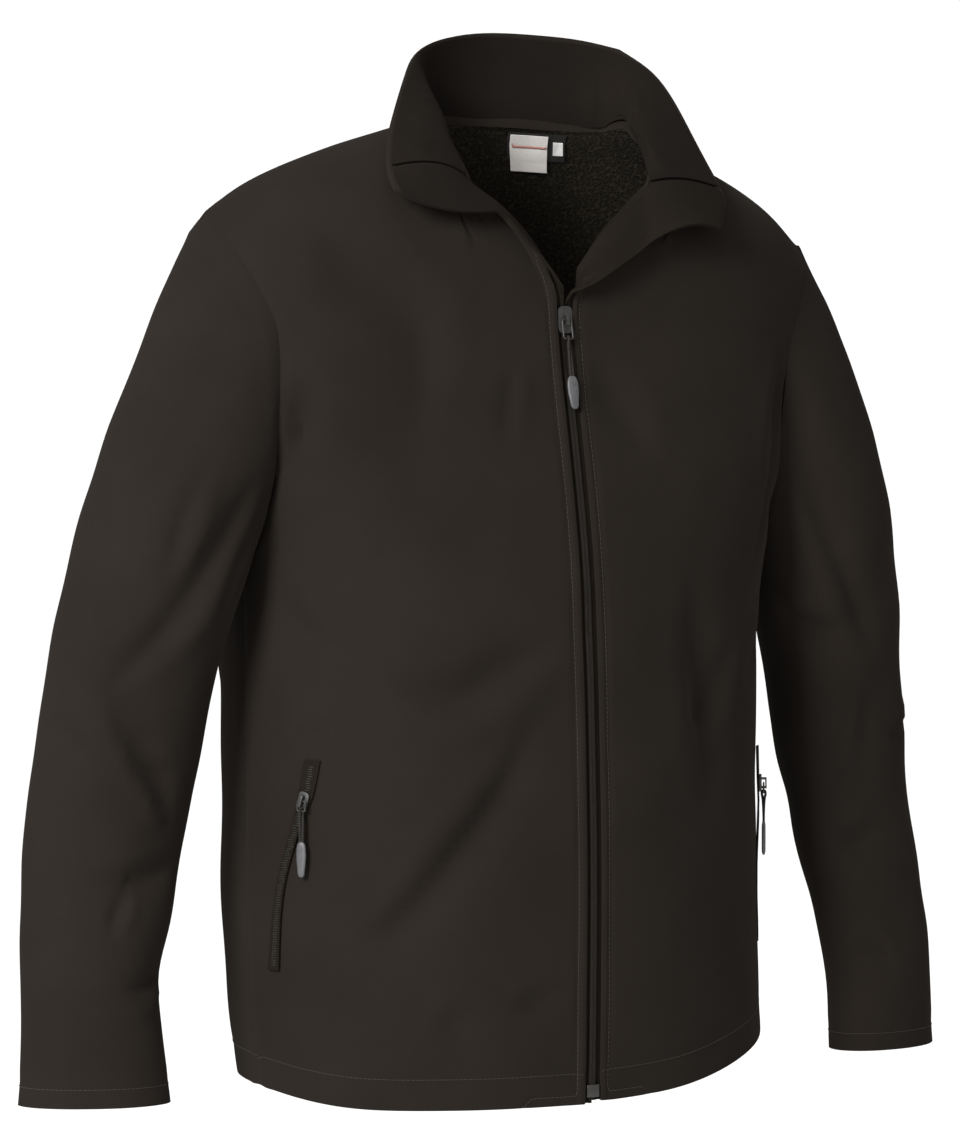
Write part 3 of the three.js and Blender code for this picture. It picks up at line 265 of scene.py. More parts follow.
def label_material(name, colour):
    """Woven satin label: close ribs."""
    nodes = Nodes(name)
    grain = nodes.noise(1200.0, 3.0, 0.6)
    nodes.link(nodes.ramp(grain, [(0.3, scaled(colour, 0.85)), (0.8, scaled(colour, 1.1))]), "Base Color")
    nodes.link(nodes.bump(weave_height(nodes, 0.0006), 0.35, 0.0002), "Normal")
    nodes.set(Roughness=0.6, Specular_IOR_Level=0.35)
    return nodes.material


SHELL = shell_material("shell", SHELL_COLOUR)
# The facing is a darker copy of the shell: its colour is scaled to 0.66 as painted shade for the shaded
# inside of the collar, and the zip tapes' leaves use it too.
PAINTED_SHADE_FACING = shell_material("facing", scaled(SHELL_COLOUR, 0.66), 0.84, 0.006)
FLEECE = fleece_material()
TAPE = tape_material()
COIL = coil_material()
ENAMEL = enamel_material()
CORD = cord_material()
GRIP = grip_material()
THREAD = thread_material()

# Meshes


def piece_from(name, vertices, faces, materials, smooth=True):
    mesh = bpy.data.meshes.new(name)
    mesh.from_pydata([tuple(v) for v in vertices], [], faces)
    mesh.update()
    for material in materials:
        mesh.materials.append(material)
    if smooth:
        mesh.shade_smooth()
    else:
        mesh.shade_flat()
    piece = bpy.data.objects.new(name, mesh)
    bpy.context.scene.collection.objects.link(piece)
    return piece


def coordinates(mesh):
    flat = np.zeros(len(mesh.vertices) * 3, np.float32)
    mesh.vertices.foreach_get("co", flat)
    return flat.reshape(-1, 3).astype(float)


def set_coordinates(mesh, points):
    mesh.vertices.foreach_set("co", points.astype(np.float32).ravel())
    mesh.update()


def across_path(path):
    """Two directions across each place of a path, turning with it."""
    tangents = np.gradient(path, axis=0)
    tangents /= np.linalg.norm(tangents, axis=1)[:, None]
    side = np.cross(tangents[0], (0.2, 0.1, 1.0) if abs(tangents[0][2]) < 0.9 else (1.0, 0.1, 0.2))
    sides = []
    for tangent in tangents:
        side = side - tangent * (side @ tangent)
        side = side / np.linalg.norm(side)
        sides.append(side)
    return tangents, np.array(sides), np.cross(tangents, sides)


CAP_TURNS = np.radians([80, 45, 18])     # the rings of a cord's rounded end


class Builder:
    """Gathers the vertices and faces of one piece, with each face's material index."""

    def __init__(self):
        self.vertices, self.faces, self.kinds = [], [], []

    def loft(self, rings, kind=0, closed=False):
        """Joins rings of places into a skin; an open one gets its two ends filled."""
        base, count = len(self.vertices), len(rings[0])
        for ring in rings:
            self.vertices.extend(tuple(place) for place in ring)
        for k in range(len(rings) if closed else len(rings) - 1):
            low, high = base + k * count, base + (k + 1) % len(rings) * count
            for i in range(count):
                j = (i + 1) % count
                self.add((low + i, low + j, high + j, high + i), kind)
        if not closed:
            self.add(tuple(base + count - 1 - i for i in range(count)), kind)
            self.add(tuple(base + (len(rings) - 1) * count + i for i in range(count)), kind)

    def add(self, face, kind):
        self.faces.append(face)
        self.kinds.append(kind)

    def tube(self, path, radius, kind=0, sides=8, closed=False):
        """A round cord along a path, with rounded ends when it is open."""
        path = np.array(path, float)
        if closed:
            around = np.concatenate([path[-1:], path, path[:1]])
            tangents, right, up = (row[1:-1] for row in across_path(around))
            radii = np.full(len(path), radius)
        else:
            tangents, right, up = across_path(path)
            head = [path[0] - tangents[0] * radius * math.sin(turn) for turn in CAP_TURNS]
            tail = [path[-1] + tangents[-1] * radius * math.sin(turn) for turn in CAP_TURNS[::-1]]
            cap = radius * np.cos(CAP_TURNS)
            radii = np.concatenate([cap, np.full(len(path), radius), cap[::-1]])
            right = np.concatenate([[right[0]] * len(cap), right, [right[-1]] * len(cap)])
            up = np.concatenate([[up[0]] * len(cap), up, [up[-1]] * len(cap)])
            path = np.concatenate([head, path, tail])
        angles = np.linspace(0, 2 * math.pi, sides, endpoint=False)
        rings = [[place + size * (math.cos(a) * x + math.sin(a) * y) for a in angles]
                 for place, size, x, y in zip(path, radii, right, up)]
        self.loft(rings, kind, closed)

    def piece(self, name, materials):
        made = piece_from(name, self.vertices, self.faces, materials)
        made.data.polygons.foreach_set("material_index", self.kinds)
        made.data.update()
        return made


OUTER, INNER, RIM = 0, 1, 2
SHARP_ANGLE = math.radians(40)
COLLAR_SHARP_ANGLE = math.radians(29)
WELD = 0.00002
QUAD_FACE_ANGLE, QUAD_SHAPE_ANGLE = math.radians(50), math.radians(80)
NO_LENGTH = 1e-6


def is_sharp(edge, angle=SHARP_ANGLE):
    return len(edge.link_faces) != 2 or edge.calc_face_angle(0.0) > angle


def mark_walls(bm, angle):
    """Gives each face its wall as a material index.

    The two largest patches between sharp edges are the walls, and the rest are rims."""
    patch_of = {}
    patches = []
    for seed in bm.faces:
        if seed in patch_of:
            continue
        group, stack = [], [seed]
        patch_of[seed] = len(patches)
        while stack:
            face = stack.pop()
            group.append(face)
            for edge in face.edges:
                if is_sharp(edge, angle):
                    continue
                for other in edge.link_faces:
                    if other not in patch_of:
                        patch_of[other] = len(patches)
                        stack.append(other)
        patches.append(group)
    patches.sort(key=lambda faces: -sum(face.calc_area() for face in faces))
    for wall, faces in enumerate(patches):
        for face in faces:
            face.material_index = min(wall, RIM)


def fine_copy(node, levels, name, materials):
    """A smooth, finer copy of a node's shell: its quads subdivided, with its rims kept sharp."""
    bm = bmesh.new()
    bm.from_mesh(NODES[node].data)
    bmesh.ops.remove_doubles(bm, verts=bm.verts, dist=WELD)
    bmesh.ops.join_triangles(
        bm, faces=bm.faces, angle_face_threshold=QUAD_FACE_ANGLE, angle_shape_threshold=QUAD_SHAPE_ANGLE)
    angle = COLLAR_SHARP_ANGLE if node == "collar" else SHARP_ANGLE
    mark_walls(bm, angle)
    crease = bm.edges.layers.float.new("crease_edge")
    for face in bm.faces:
        face.smooth = True
    for edge in bm.edges:
        edge.smooth = not is_sharp(edge, angle)
        edge[crease] = 0.0 if edge.smooth else 1.0
    mesh = bpy.data.meshes.new(name)
    bm.to_mesh(mesh)
    bm.free()
    for material in materials:
        mesh.materials.append(material)
    piece = bpy.data.objects.new(name, mesh)
    bpy.context.scene.collection.objects.link(piece)
    subdivide = piece.modifiers.new("fine", "SUBSURF")
    subdivide.levels = subdivide.render_levels = levels
    return with_modifiers_applied(piece)


def with_modifiers_applied(piece):
    bpy.context.view_layer.update()
    final = bpy.data.meshes.new_from_object(piece.evaluated_get(bpy.context.evaluated_depsgraph_get()))
    piece.modifiers.clear()
    name = piece.data.name
    piece.data.name = name + "_coarse"
    piece.data = final
    final.name = name
    return piece


class Walls:
    """The places of a shell's vertices, which wall each is on, and the walls' own normals there."""

    def __init__(self, mesh):
        self.points = coordinates(mesh)
        loops = np.zeros(len(mesh.loops), np.int32)
        mesh.loops.foreach_get("vertex_index", loops)
        totals = np.zeros(len(mesh.polygons), np.int32)
        mesh.polygons.foreach_get("loop_total", totals)
        kinds = np.zeros(len(mesh.polygons), np.int32)
        mesh.polygons.foreach_get("material_index", kinds)
        normals = np.zeros(len(mesh.polygons) * 3, np.float32)
        mesh.polygons.foreach_get("normal", normals)
        kind = np.repeat(kinds, totals)
        normal = np.repeat(normals.reshape(-1, 3), totals, axis=0)
        self.on = {}
        self.normals = {}
        for wall in (OUTER, INNER, RIM):
            chosen = kind == wall
            summed = np.zeros((len(self.points), 3))
            np.add.at(summed, loops[chosen], normal[chosen])
            lengths = np.linalg.norm(summed, axis=1)
            self.on[wall] = lengths > NO_LENGTH
            self.normals[wall] = summed / np.maximum(lengths, NO_LENGTH)[:, None]
        self.rims = self.points[self.on[OUTER] & self.on[RIM]]


def tree_of(points):
    tree = kdtree.KDTree(len(points))
    for i, point in enumerate(points):
        tree.insert(point, i)
    tree.balance()
    return tree


def distances(points, places, reach):
    """Distance of each point to the nearest place, up to reach."""
    if not len(places):
        return np.full(len(points), reach)
    tree = tree_of(places)
    return np.array([min(tree.find(point)[2], reach) for point in points])


# Folds. Each row has the width and depth of a trough, or of a ridge where the depth is above 0. Then come the
# share of a softer bank beside it, whose sign picks the side, and a line of places on the cloth as x, y, z.


def smooth_line(points, count):
    """Points along a smooth curve through the given ones."""
    points = np.array(points, float)
    if len(points) == 2:
        return np.linspace(points[0], points[1], count)
    known = np.linspace(0, 1, len(points))
    wanted = np.linspace(0, 1, count)
    tangents = np.gradient(points, known, axis=0)
    cell = np.clip(np.searchsorted(known, wanted, side="right") - 1, 0, len(points) - 2)
    width = known[cell + 1] - known[cell]
    t = ((wanted - known[cell]) / width)[:, None]
    w = width[:, None]
    a, b = points[cell], points[cell + 1]
    ta, tb = tangents[cell] * w, tangents[cell + 1] * w
    return ((2 * t**3 - 3 * t**2 + 1) * a + (t**3 - 2 * t**2 + t) * ta
            + (3 * t**2 - 2 * t**3) * b + (t**3 - t**2) * tb)


FOLD_STEPS = 40
FOLD_REACH = 4                 # in widths
BANK_REACH = 1.9               # in widths
BANK_WIDTH = 1.0               # in widths
FADE_POWER = 1.1
THIN_END = 0.5                 # a fold's width at its ends, to that at its middle
STEEP_SIDE, GENTLE_SIDE = 0.75, 1.35


def fold_depths(points, normals, row):
    """How far each point moves along its normal for one fold."""
    line = smooth_line(np.array(row["line"]) * MM, FOLD_STEPS)
    width, depth, bank = row["width"] * MM, row["depth"] * MM, row["bank"]
    reach = FOLD_REACH * width
    near = np.all((points > line.min(0) - reach) & (points < line.max(0) + reach), axis=1)
    index = np.nonzero(near)[0]
    moved = np.zeros(len(points))
    if not len(index):
        return moved
    p = points[index]
    a, b = line[:-1], line[1:]
    best = np.full(len(p), np.inf)
    along = np.zeros(len(p))
    side = np.zeros(len(p))
    for k in range(len(a)):
        step = b[k] - a[k]
        t = np.clip(((p - a[k]) @ step) / (step @ step), 0, 1)
        off = p - (a[k] + t[:, None] * step)
        distance = np.linalg.norm(off, axis=1)
        closer = distance < best
        best = np.where(closer, distance, best)
        along = np.where(closer, (k + t) / len(a), along)
        across = np.cross(normals[index], step / np.linalg.norm(step))
        side = np.where(closer, np.sum(off * across, axis=1), side)
    arch = np.sin(np.pi * np.clip(along, 0, 1))
    fade = arch ** FADE_POWER
    wide = width * (THIN_END + (1 - THIN_END) * arch)
    sharp = np.where(side * bank > 0, STEEP_SIDE, GENTLE_SIDE) if bank else 1.0
    shape = np.exp(-(best / (wide * sharp)) ** 2)
    side = side * np.sign(bank)
    beside = np.exp(-((side - BANK_REACH * wide) / (BANK_WIDTH * wide)) ** 2)
    beside = beside * np.exp(-np.maximum(best - abs(side), 0) ** 2 / wide**2)
    bank = abs(bank)
    moved[index] = fade * depth * (shape - bank * beside)
    return moved


def fold(width, depth, bank, *line):
    return {"width": width, "depth": depth, "bank": bank, "line": line}


TORSO_CREASES = [
    # the right front's armhole, where the cloth doubles over towards the armpit
    fold(9, -1.0, 0.3, (-197, -60, -190), (-200, -60, -206), (-201, -55, -231), (-206, -49, -256)),
    fold(8, -0.6, 0.3, (-190, -68, -198), (-196, -62, -226), (-203, -52, -250)),
    # the left front's armhole
    fold(8, -2.6, -0.3, (206, -60, -170), (203, -60, -200), (193, -64, -232), (178, -74, -278)),
    fold(7, -2.3, -0.3, (206, -58, -214), (199, -62, -250), (188, -66, -292), (168, -77, -334)),
    # slow folds across the chest and the waist
    fold(17, -2.4, 0.5, (-196, -58, -86), (-160, -70, -120), (-116, -79, -156), (-124, -91, -240)),
    fold(13, -3.4, 0.5, (-22, -122, -384), (-62, -118, -404), (-100, -109, -424), (-150, -88, -414)),
    fold(11, -3.2, -0.5, (-45, -123, -437), (-70, -120, -490), (-98, -114, -530), (-144, -93, -588),
         (-172, -75, -592)),
    fold(8, -1.6, 0.4, (-66, -122, -652), (-48, -125, -644), (-24, -127, -640)),
    fold(8, -1.3, 0.4, (-120, -108, -662), (-92, -116, -652)),
    fold(14, -2.4, 0.4, (20, -92, -182), (44, -97, -214), (70, -102, -252)),
    fold(16, -2.8, -0.4, (96, -106, -334), (104, -104, -400), (112, -102, -470), (110, -103, -520)),
    fold(12, -1.8, 0.4, (150, -90, -380), (120, -100, -430), (90, -110, -446)),
    fold(9, -2.2, 0.5, (-208, -36, -350), (-200, -52, -372), (-178, -72, -392)),
    fold(8, -1.8, -0.5, (206, -40, -360), (190, -60, -392), (160, -84, -408)),
    fold(7, -1.4, 0.5, (-206, -30, -470), (-196, -56, -450), (-176, -72, -442)),
    fold(6, -1.2, 0.5, (-40, -96, -176), (-52, -97, -210), (-58, -102, -250)),
    # the back
    fold(14, -3.0, 0.5, (-190, 70, -200), (-150, 120, -250), (-96, 146, -284)),
    fold(14, -2.8, -0.5, (188, 74, -210), (152, 118, -262), (104, 144, -300)),
    fold(11, -2.4, 0.5, (-206, 50, -350), (-176, 104, -392), (-120, 138, -410)),
    fold(12, -2.4, -0.5, (206, 46, -356), (178, 102, -402), (126, 136, -430)),
    fold(13, -2.0, 0.4, (-120, 138, -470), (-60, 158, -486), (10, 162, -478)),
    fold(12, -1.8, 0.4, (30, 160, -566), (90, 148, -548), (150, 118, -560)),
    fold(10, -1.4, 0.4, (-100, 140, -640), (-40, 156, -622), (30, 158, -634)),
]

SLEEVE_CREASES = {
    "sleeve_right": [
        fold(10, -3.4, 0.4, (-232, -54, -262), (-262, -53, -316), (-300, -42, -376), (-338, -20, -416)),
        fold(7, -2.0, 0.4, (-226, -46, -292), (-244, -48, -330), (-262, -45, -372)),
        fold(8, 3.2, 0.4, (-344, -14, -424), (-330, -28, -456), (-304, -28, -500), (-292, -20, -512)),
        fold(8, -3.0, -0.4, (-279, -10, -541), (-300, -22, -548), (-326, -26, -552), (-350, -14, -552)),
        fold(5, -2.4, 0.4, (-318, -26, -556), (-330, -26, -574), (-337, -23, -590)),
        fold(4, -2.2, 0.5, (-366, 19, -440), (-354, -4, -450), (-338, -20, -470)),
        fold(5, -3.2, 0.5, (-294, -6, -622), (-312, -24, -632), (-334, -30, -628)),
        fold(5, -2.0, -0.5, (-284, -20, -480), (-302, -30, -474), (-322, -30, -462)),
        fold(6, -2.4, 0.5, (-270, -50, -250), (-290, -48, -300), (-300, -44, -340)),
        fold(8, -3.0, 0.5, (-232, 50, -300), (-266, 62, -350), (-300, 66, -392)),
        fold(6, -2.6, -0.5, (-284, 52, -560), (-312, 60, -540), (-340, 52, -530)),
        fold(5, -2.4, 0.5, (-292, 40, -600), (-318, 46, -612), (-346, 38, -606)),
    ],
    "sleeve_left": [
        fold(10, -3.2, -0.4, (226, -54, -262), (254, -52, -312), (286, -42, -366), (306, -32, -398)),
        fold(9, -2.4, 0.4, (222, -16, -352), (236, -22, -372), (256, -34, -384), (274, -38, -388)),
        fold(6, 2.4, 0.4, (300, -34, -430), (296, -34, -466), (288, -28, -500)),
        fold(8, -2.6, 0.4, (279, -12, -545), (300, -22, -546), (328, -22, -540)),
        fold(5, -2.0, -0.5, (340, -16, -566), (352, 0, -590), (356, 10, -610)),
        fold(5, -2.4, 0.5, (290, -10, -636), (310, -26, -630), (334, -28, -640)),
        fold(5, -2.2, 0.5, (330, -26, -470), (348, -8, -462), (362, 14, -452)),
        fold(8, -3.0, 0.5, (232, 52, -296), (262, 62, -346), (296, 66, -384)),
        fold(6, -2.6, 0.5, (282, 52, -556), (312, 60, -540), (342, 50, -536)),
        fold(5, -2.0, 0.5, (300, 44, -620), (326, 46, -606), (352, 34, -600)),
    ],
}


def cloth_ripple(points, amplitude, scale):
    """Slow, low unevenness, the same on each run."""
    p = points * scale
    x, y, z = p[:, 0], p[:, 1], p[:, 2]
    broad = np.sin(x * 1.7 + 2.1 * np.sin(z * 0.9 + 0.4)) * np.cos(z * 1.3 + y * 1.9)
    close = 0.6 * np.sin(z * 2.3 + 1.2 * np.sin(x * 1.6)) * np.cos(x * 2.1 - y * 1.4)
    return amplitude * (broad + close)


RIM_REACH = 0.034
WITHIN_REACH = RIM_REACH * 0.98
SEAM_DIP, SEAM_DIP_WIDTH = 0.0010, 0.0028
SEAM_PUFF, SEAM_PUFF_PLACE, SEAM_PUFF_WIDTH = 0.0007, 0.008, 0.004
EDGE_ROLL = 0.0008             # how proud the folded edge of a hem stands
EDGE_ROLL_PLACE = 0.003
RIM_CALM = 0.012               # folds fade out this near to a seam
SEAM_OVERLAP = 0.0004          # closes the gap that the solids keep at a seam
NECK_OVERLAP = 0.0014
STITCH_GROOVE = 0.0008
STITCH_WIDTH = 0.0028
FOLD_GAIN = 2.2


def ease(share):
    share = np.clip(share, 0, 1)
    return share * share * (3 - 2 * share)


def seam_profile(distance):
    """A sewn seam: it dips at the stitches and puffs up a little beside them."""
    dip = -SEAM_DIP * np.exp(-(distance / SEAM_DIP_WIDTH) ** 2)
    puff = SEAM_PUFF * np.exp(-((distance - SEAM_PUFF_PLACE) / SEAM_PUFF_WIDTH) ** 2)
    return (dip + puff) * (distance < RIM_REACH)


# Where a tight fold brings the two walls together, and how far the inner one is let in there
TIGHT_FOLDS = [(-203, -54, -228), (-203, -53, -240)]
TIGHT_REACH = 0.018
TIGHT_DEPTH = 0.003


def move_walls(mesh, walls, depth_at, overlap):
    """Moves both walls by what depth_at gives along the outer one's normals, and the rims outward."""
    outer = np.nonzero(walls.on[OUTER])[0]
    shift = np.zeros_like(walls.points)
    depth = depth_at(walls.points[outer], walls.normals[OUTER][outer])
    shift[outer] = walls.normals[OUTER][outer] * depth[:, None]
    tree = tree_of(walls.points[outer])
    for i in np.nonzero(~walls.on[OUTER])[0]:
        shift[i] = shift[outer[tree.find(walls.points[i])[1]]]
    for place in TIGHT_FOLDS:
        away = np.linalg.norm(walls.points - np.array(place) * MM, axis=1)
        depth = TIGHT_DEPTH * np.exp(-(away / TIGHT_REACH) ** 2) * walls.on[INNER] * ~walls.on[RIM]
        shift += walls.normals[INNER] * depth[:, None]
    shift += walls.normals[RIM] * (walls.on[RIM] * overlap)[:, None]
    set_coordinates(mesh, walls.points + shift)


NEIGHBOUR_REACH = 0.0065
SHORTEST_LINE, FEWEST_PLACES = 0.06, 5


def seam_places(node):
    """The rim places of a cloth that lie beside another cloth's rim, and its free ones."""
    others = np.concatenate([WALLS[other].rims for other in WALLS if other != node])
    near = distances(WALLS[node].rims, others, RIM_REACH) < NEIGHBOUR_REACH
    return WALLS[node].rims[near], WALLS[node].rims[~near]


def steps_along(line):
    return np.linalg.norm(np.diff(line, axis=0), axis=1)


def contour(mesh, field, level):
    """Lines of places on a mesh's outer wall where a field of its vertices passes a level."""
    points = coordinates(mesh)
    above = field > level
    links = {}
    places = {}
    for polygon in mesh.polygons:
        corners = polygon.vertices[:]
        if polygon.material_index != OUTER or len({bool(above[i]) for i in corners}) == 1:
            continue
        crossed = []
        for i, j in zip(corners, corners[1:] + corners[:1]):
            if above[i] != above[j] and max(field[i], field[j]) < WITHIN_REACH:
                key = (min(i, j), max(i, j))
                share = (level - field[i]) / (field[j] - field[i])
                places[key] = points[i] + share * (points[j] - points[i])
                crossed.append(key)
        if len(crossed) == 2:
            links.setdefault(crossed[0], []).append(crossed[1])
            links.setdefault(crossed[1], []).append(crossed[0])
    lines = []
    left = set(links)
    starts = sorted(key for key in links if len(links[key]) == 1) + sorted(links)
    for start in starts:
        if start not in left:
            continue
        line, key = [], start
        while key is not None:
            left.discard(key)
            line.append(places[key])
            key = next((other for other in links[key] if other in left), None)
        if len(line) > FEWEST_PLACES and steps_along(line).sum() > SHORTEST_LINE:
            lines.append(np.array(line))
    return lines


def resampled(line, pitch):
    """Places along a line at an even pitch."""
    lengths = np.concatenate([[0], np.cumsum(steps_along(line))])
    count = max(int(lengths[-1] / pitch), 2)
    wanted = np.linspace(0, lengths[-1], count)
    return np.stack([np.interp(wanted, lengths, line[:, axis]) for axis in range(3)], axis=1)


STITCH_PITCH = 0.0034
STITCH_LENGTH = 0.0024
STITCH_RADIUS = 0.00032
STITCH_LIFT, STITCH_SINK = 0.55, 0.5      # in radii


def add_stitches(builder, bvh, lines):
    """Short threads laid along lines on a cloth, their ends dipping into it."""
    for line in lines:
        places = resampled(line, STITCH_PITCH)
        for here, there in zip(places[:-1], places[1:]):
            along = (there - here) / np.linalg.norm(there - here)
            middle, normal, _, _ = bvh.find_nearest(Vector((here + there) / 2))
            if normal is None:
                continue
            middle, normal = np.array(middle), np.array(normal)
            half = along * STITCH_LENGTH / 2
            lift = normal * STITCH_RADIUS * STITCH_LIFT
            sunk = normal * STITCH_RADIUS * STITCH_SINK
            path = [middle - half - sunk, middle + lift, middle + half - sunk]
            builder.tube(path, STITCH_RADIUS, sides=5)


def neck_seam(places):
    """Those places that lie where the panels meet the collar."""
    collar = distances(places, WALLS["collar"].points, RIM_REACH) < NEIGHBOUR_REACH
    panels = np.concatenate([WALLS[node].rims for node in PANELS])
    return places[collar & (distances(places, panels, RIM_REACH) < NEIGHBOUR_REACH)]


ZIP_EDGE_X, ZIP_EDGE_TOP = 0.014, -0.14
RIPPLE = 0.0007
PANEL_RIPPLE_SCALE, SLEEVE_RIPPLE_SCALE = 22.0, 30.0


def shape_cloth(node, folds, ripple_scale, lines):
    """Gives a cloth its folds, seams, rolled edges and stitch grooves."""
    walls = WALLS[node]
    seams, free = seam_places(node)
    zip_edge = free[(np.abs(free[:, 0]) < ZIP_EDGE_X) & (free[:, 2] < ZIP_EDGE_TOP)]
    calm = np.concatenate([seams, zip_edge])
    threads = np.concatenate(lines) if lines else np.zeros((0, 3))
    neck = neck_seam(seams)
    sewn = seams[distances(seams, neck, RIM_REACH) > NEIGHBOUR_REACH] if len(neck) else seams

    def depth_at(points, normals):
        depth = cloth_ripple(points, RIPPLE, ripple_scale)
        for row in folds:
            depth += FOLD_GAIN * fold_depths(points, normals, row)
        depth *= ease(distances(points, calm, RIM_REACH) / RIM_CALM)
        depth += seam_profile(distances(points, sewn, RIM_REACH))
        edge = distances(points, free, RIM_REACH)
        depth += EDGE_ROLL * np.exp(-((edge - EDGE_ROLL_PLACE) / EDGE_ROLL_PLACE) ** 2)
        thread = distances(points, threads, RIM_REACH)
        return depth - STITCH_GROOVE * np.exp(-(thread / STITCH_WIDTH) ** 2)

    by_neck = distances(walls.points, neck, RIM_REACH) < NEIGHBOUR_REACH
    overlap = np.where(by_neck, NECK_OVERLAP, SEAM_OVERLAP)
    move_walls(CLOTH[node].data, walls, depth_at, overlap)


def stitch_lines(node, spacing):
    """Stitch lines at a spacing from the free rims that choose() picks."""
    walls = WALLS[node]
    _, free = seam_places(node)
    lines = []
    for choose, depth in spacing:
        picked = free[choose(free)]
        if len(picked):
            field = distances(walls.points, picked, RIM_REACH)
            lines += contour(CLOTH[node].data, field, depth)
    return lines


HEM_TOP, HEM_NEAR_ZIP = -0.685, 0.013
ZIP_TOP, ZIP_FAR = -0.108, 0.05
CUFF_TOP = -0.6


def at_hem(places):
    return (places[:, 2] < HEM_TOP) & (np.abs(places[:, 0]) > HEM_NEAR_ZIP)


def at_zip(places):
    return (places[:, 2] < ZIP_TOP) & (places[:, 1] < 0) & (np.abs(places[:, 0]) < ZIP_FAR)


def at_cuff(places):
    return places[:, 2] < CUFF_TOP


def anywhere(places):
    return np.ones(len(places), bool)


HEM_DEPTH, CUFF_DEPTH, ZIP_SEAM, COLLAR_SEAM = 0.022, 0.013, 0.006, 0.006
SPACING = {
    "front_right": [(at_hem, HEM_DEPTH), (at_zip, ZIP_SEAM)],
    "front_left": [(at_hem, HEM_DEPTH), (at_zip, ZIP_SEAM)],
    "back": [(at_hem, HEM_DEPTH)],
    "sleeve_right": [(at_cuff, CUFF_DEPTH)],
    "sleeve_left": [(at_cuff, CUFF_DEPTH)],
    "collar": [(anywhere, COLLAR_SEAM)],
}
LEVELS = 2
CLOTH = {}
for node in PANELS + SLEEVES:
    CLOTH[node] = fine_copy(node, LEVELS, node + "_cloth", [SHELL, FLEECE, SHELL])
CLOTH["collar"] = fine_copy("collar", LEVELS, "collar_cloth", [SHELL, SHELL, SHELL])
WALLS = {node: Walls(cloth.data) for node, cloth in CLOTH.items()}

# The inner collar, drawn down to the neck seam and gathered where the right leaf folds over. Each row has the
# width and height of a ridge, then its places.

FACING_DROP = 0.0085
FACING_DROP_FROM, FACING_DROP_OVER = 0.009, 0.016
FACING_LEAST = 0.12            # keeps the lowered border's rows apart
BACK_NECK_Y = 0.012
SAMPLE_STEP = 7
FACING_FOLDS = [
    (2.2, 2.0, (-94, -18, 21), (-84, -24, 22), (-72, -26, 24)),
    (2.6, 2.6, (-102, -24, 11), (-88, -28, 13), (-72, -27, 15)),
    (2.0, 1.8, (-101, -33, 4), (-90, -37, 6), (-80, -35, 8)),
    (2.6, 2.8, (-107, -37, -2), (-94, -41, 0), (-78, -41, 2)),
    (2.1, 2.0, (-108, -45, -8), (-96, -47, -6), (-84, -47, -4)),
    (2.7, 2.8, (-113, -49, -13), (-99, -51, -11), (-82, -52, -8)),
    (2.1, 1.8, (-114, -55, -19), (-102, -57, -17), (-90, -58, -15)),
    (2.6, 2.6, (-118, -58, -25), (-105, -61, -23), (-90, -63, -20)),
    (2.2, 1.9, (-119, -64, -30), (-108, -67, -29), (-96, -69, -27)),
    (6, 2.2, (92, 30, 46), (89, 24, 24), (88, 21, 7)),
    (4, 1.6, (103, 27, 49), (96, 16, 28), (92, 8, 10)),
    (6, 2.4, (112, 19, 46), (104, 4, 28), (99, -6, 12)),
    (4, 1.5, (116, 5, 37), (108, -10, 20), (103, -22, 5)),
    (7, 1.6, (-60, 30, 50), (-56, 26, 30), (-52, 24, 12)),
]


def ridges(rows, sign):
    """What moves a wall by rows of ridges, toward the side that the sign says."""
    def depth_at(points, normals):
        depth = np.zeros(len(points))
        for width, height, *line in rows:
            depth += sign * fold_depths(points, normals, fold(width, height, 0.0, *line))
        return depth

    return depth_at


def shape_facing():
    piece = fine_copy("collar_facing", LEVELS + 1, "collar_facing_cloth", [PAINTED_SHADE_FACING, PAINTED_SHADE_FACING, PAINTED_SHADE_FACING])
    walls = Walls(piece.data)
    collar = WALLS["collar"]
    neck = neck_seam(np.concatenate([WALLS[node].points[WALLS[node].on[RIM]] for node in PANELS]))
    neck = neck[neck[:, 1] > BACK_NECK_Y]
    beside = tree_of(collar.points)
    sample = np.nonzero(walls.on[OUTER])[0][::SAMPLE_STEP]
    offsets = np.array([np.array(beside.find(walls.points[i])[0]) - walls.points[i] for i in sample])
    toward_collar = np.sum(offsets * walls.normals[OUTER][sample]) > 0
    move_walls(piece.data, walls, ridges(FACING_FOLDS, -1.0 if toward_collar else 1.0), 0.0)
    points = coordinates(piece.data)
    seam = tree_of(neck)
    for i, point in enumerate(points):
        place, _, distance = seam.find(point)
        if distance < RIM_REACH:
            drop = FACING_DROP * (1 - ease((distance - FACING_DROP_FROM) / FACING_DROP_OVER))
            lowered = max(distance - drop, FACING_LEAST * distance)
            points[i] = np.array(place) + (point - np.array(place)) * lowered / distance
    set_coordinates(piece.data, points)
    return piece


def surface_of(meshes):
    """A tree for rays onto meshes."""
    vertices, faces = [], []
    for mesh in meshes:
        base = len(vertices)
        vertices.extend(coordinates(mesh).tolist())
        faces.extend(tuple(base + i for i in p.vertices) for p in mesh.polygons)
    return BVHTree.FromPolygons(vertices, faces)


facing = shape_facing()
stitching = Builder()
for node in CLOTH:
    lines = stitch_lines(node, SPACING[node])
    folds = SLEEVE_CREASES.get(node, TORSO_CREASES if node in PANELS else [])
    shape_cloth(node, folds, SLEEVE_RIPPLE_SCALE if node in SLEEVES else PANEL_RIPPLE_SCALE, lines)
    add_stitches(stitching, surface_of([CLOTH[node].data]), lines)
stitches = stitching.piece("edge_stitches", [THREAD])
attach(stitches, JACKET)

CLOTH["collar_facing"] = facing
for node, cloth in CLOTH.items():
    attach(cloth, JACKET)
    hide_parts(node)

# Pulls and sliders

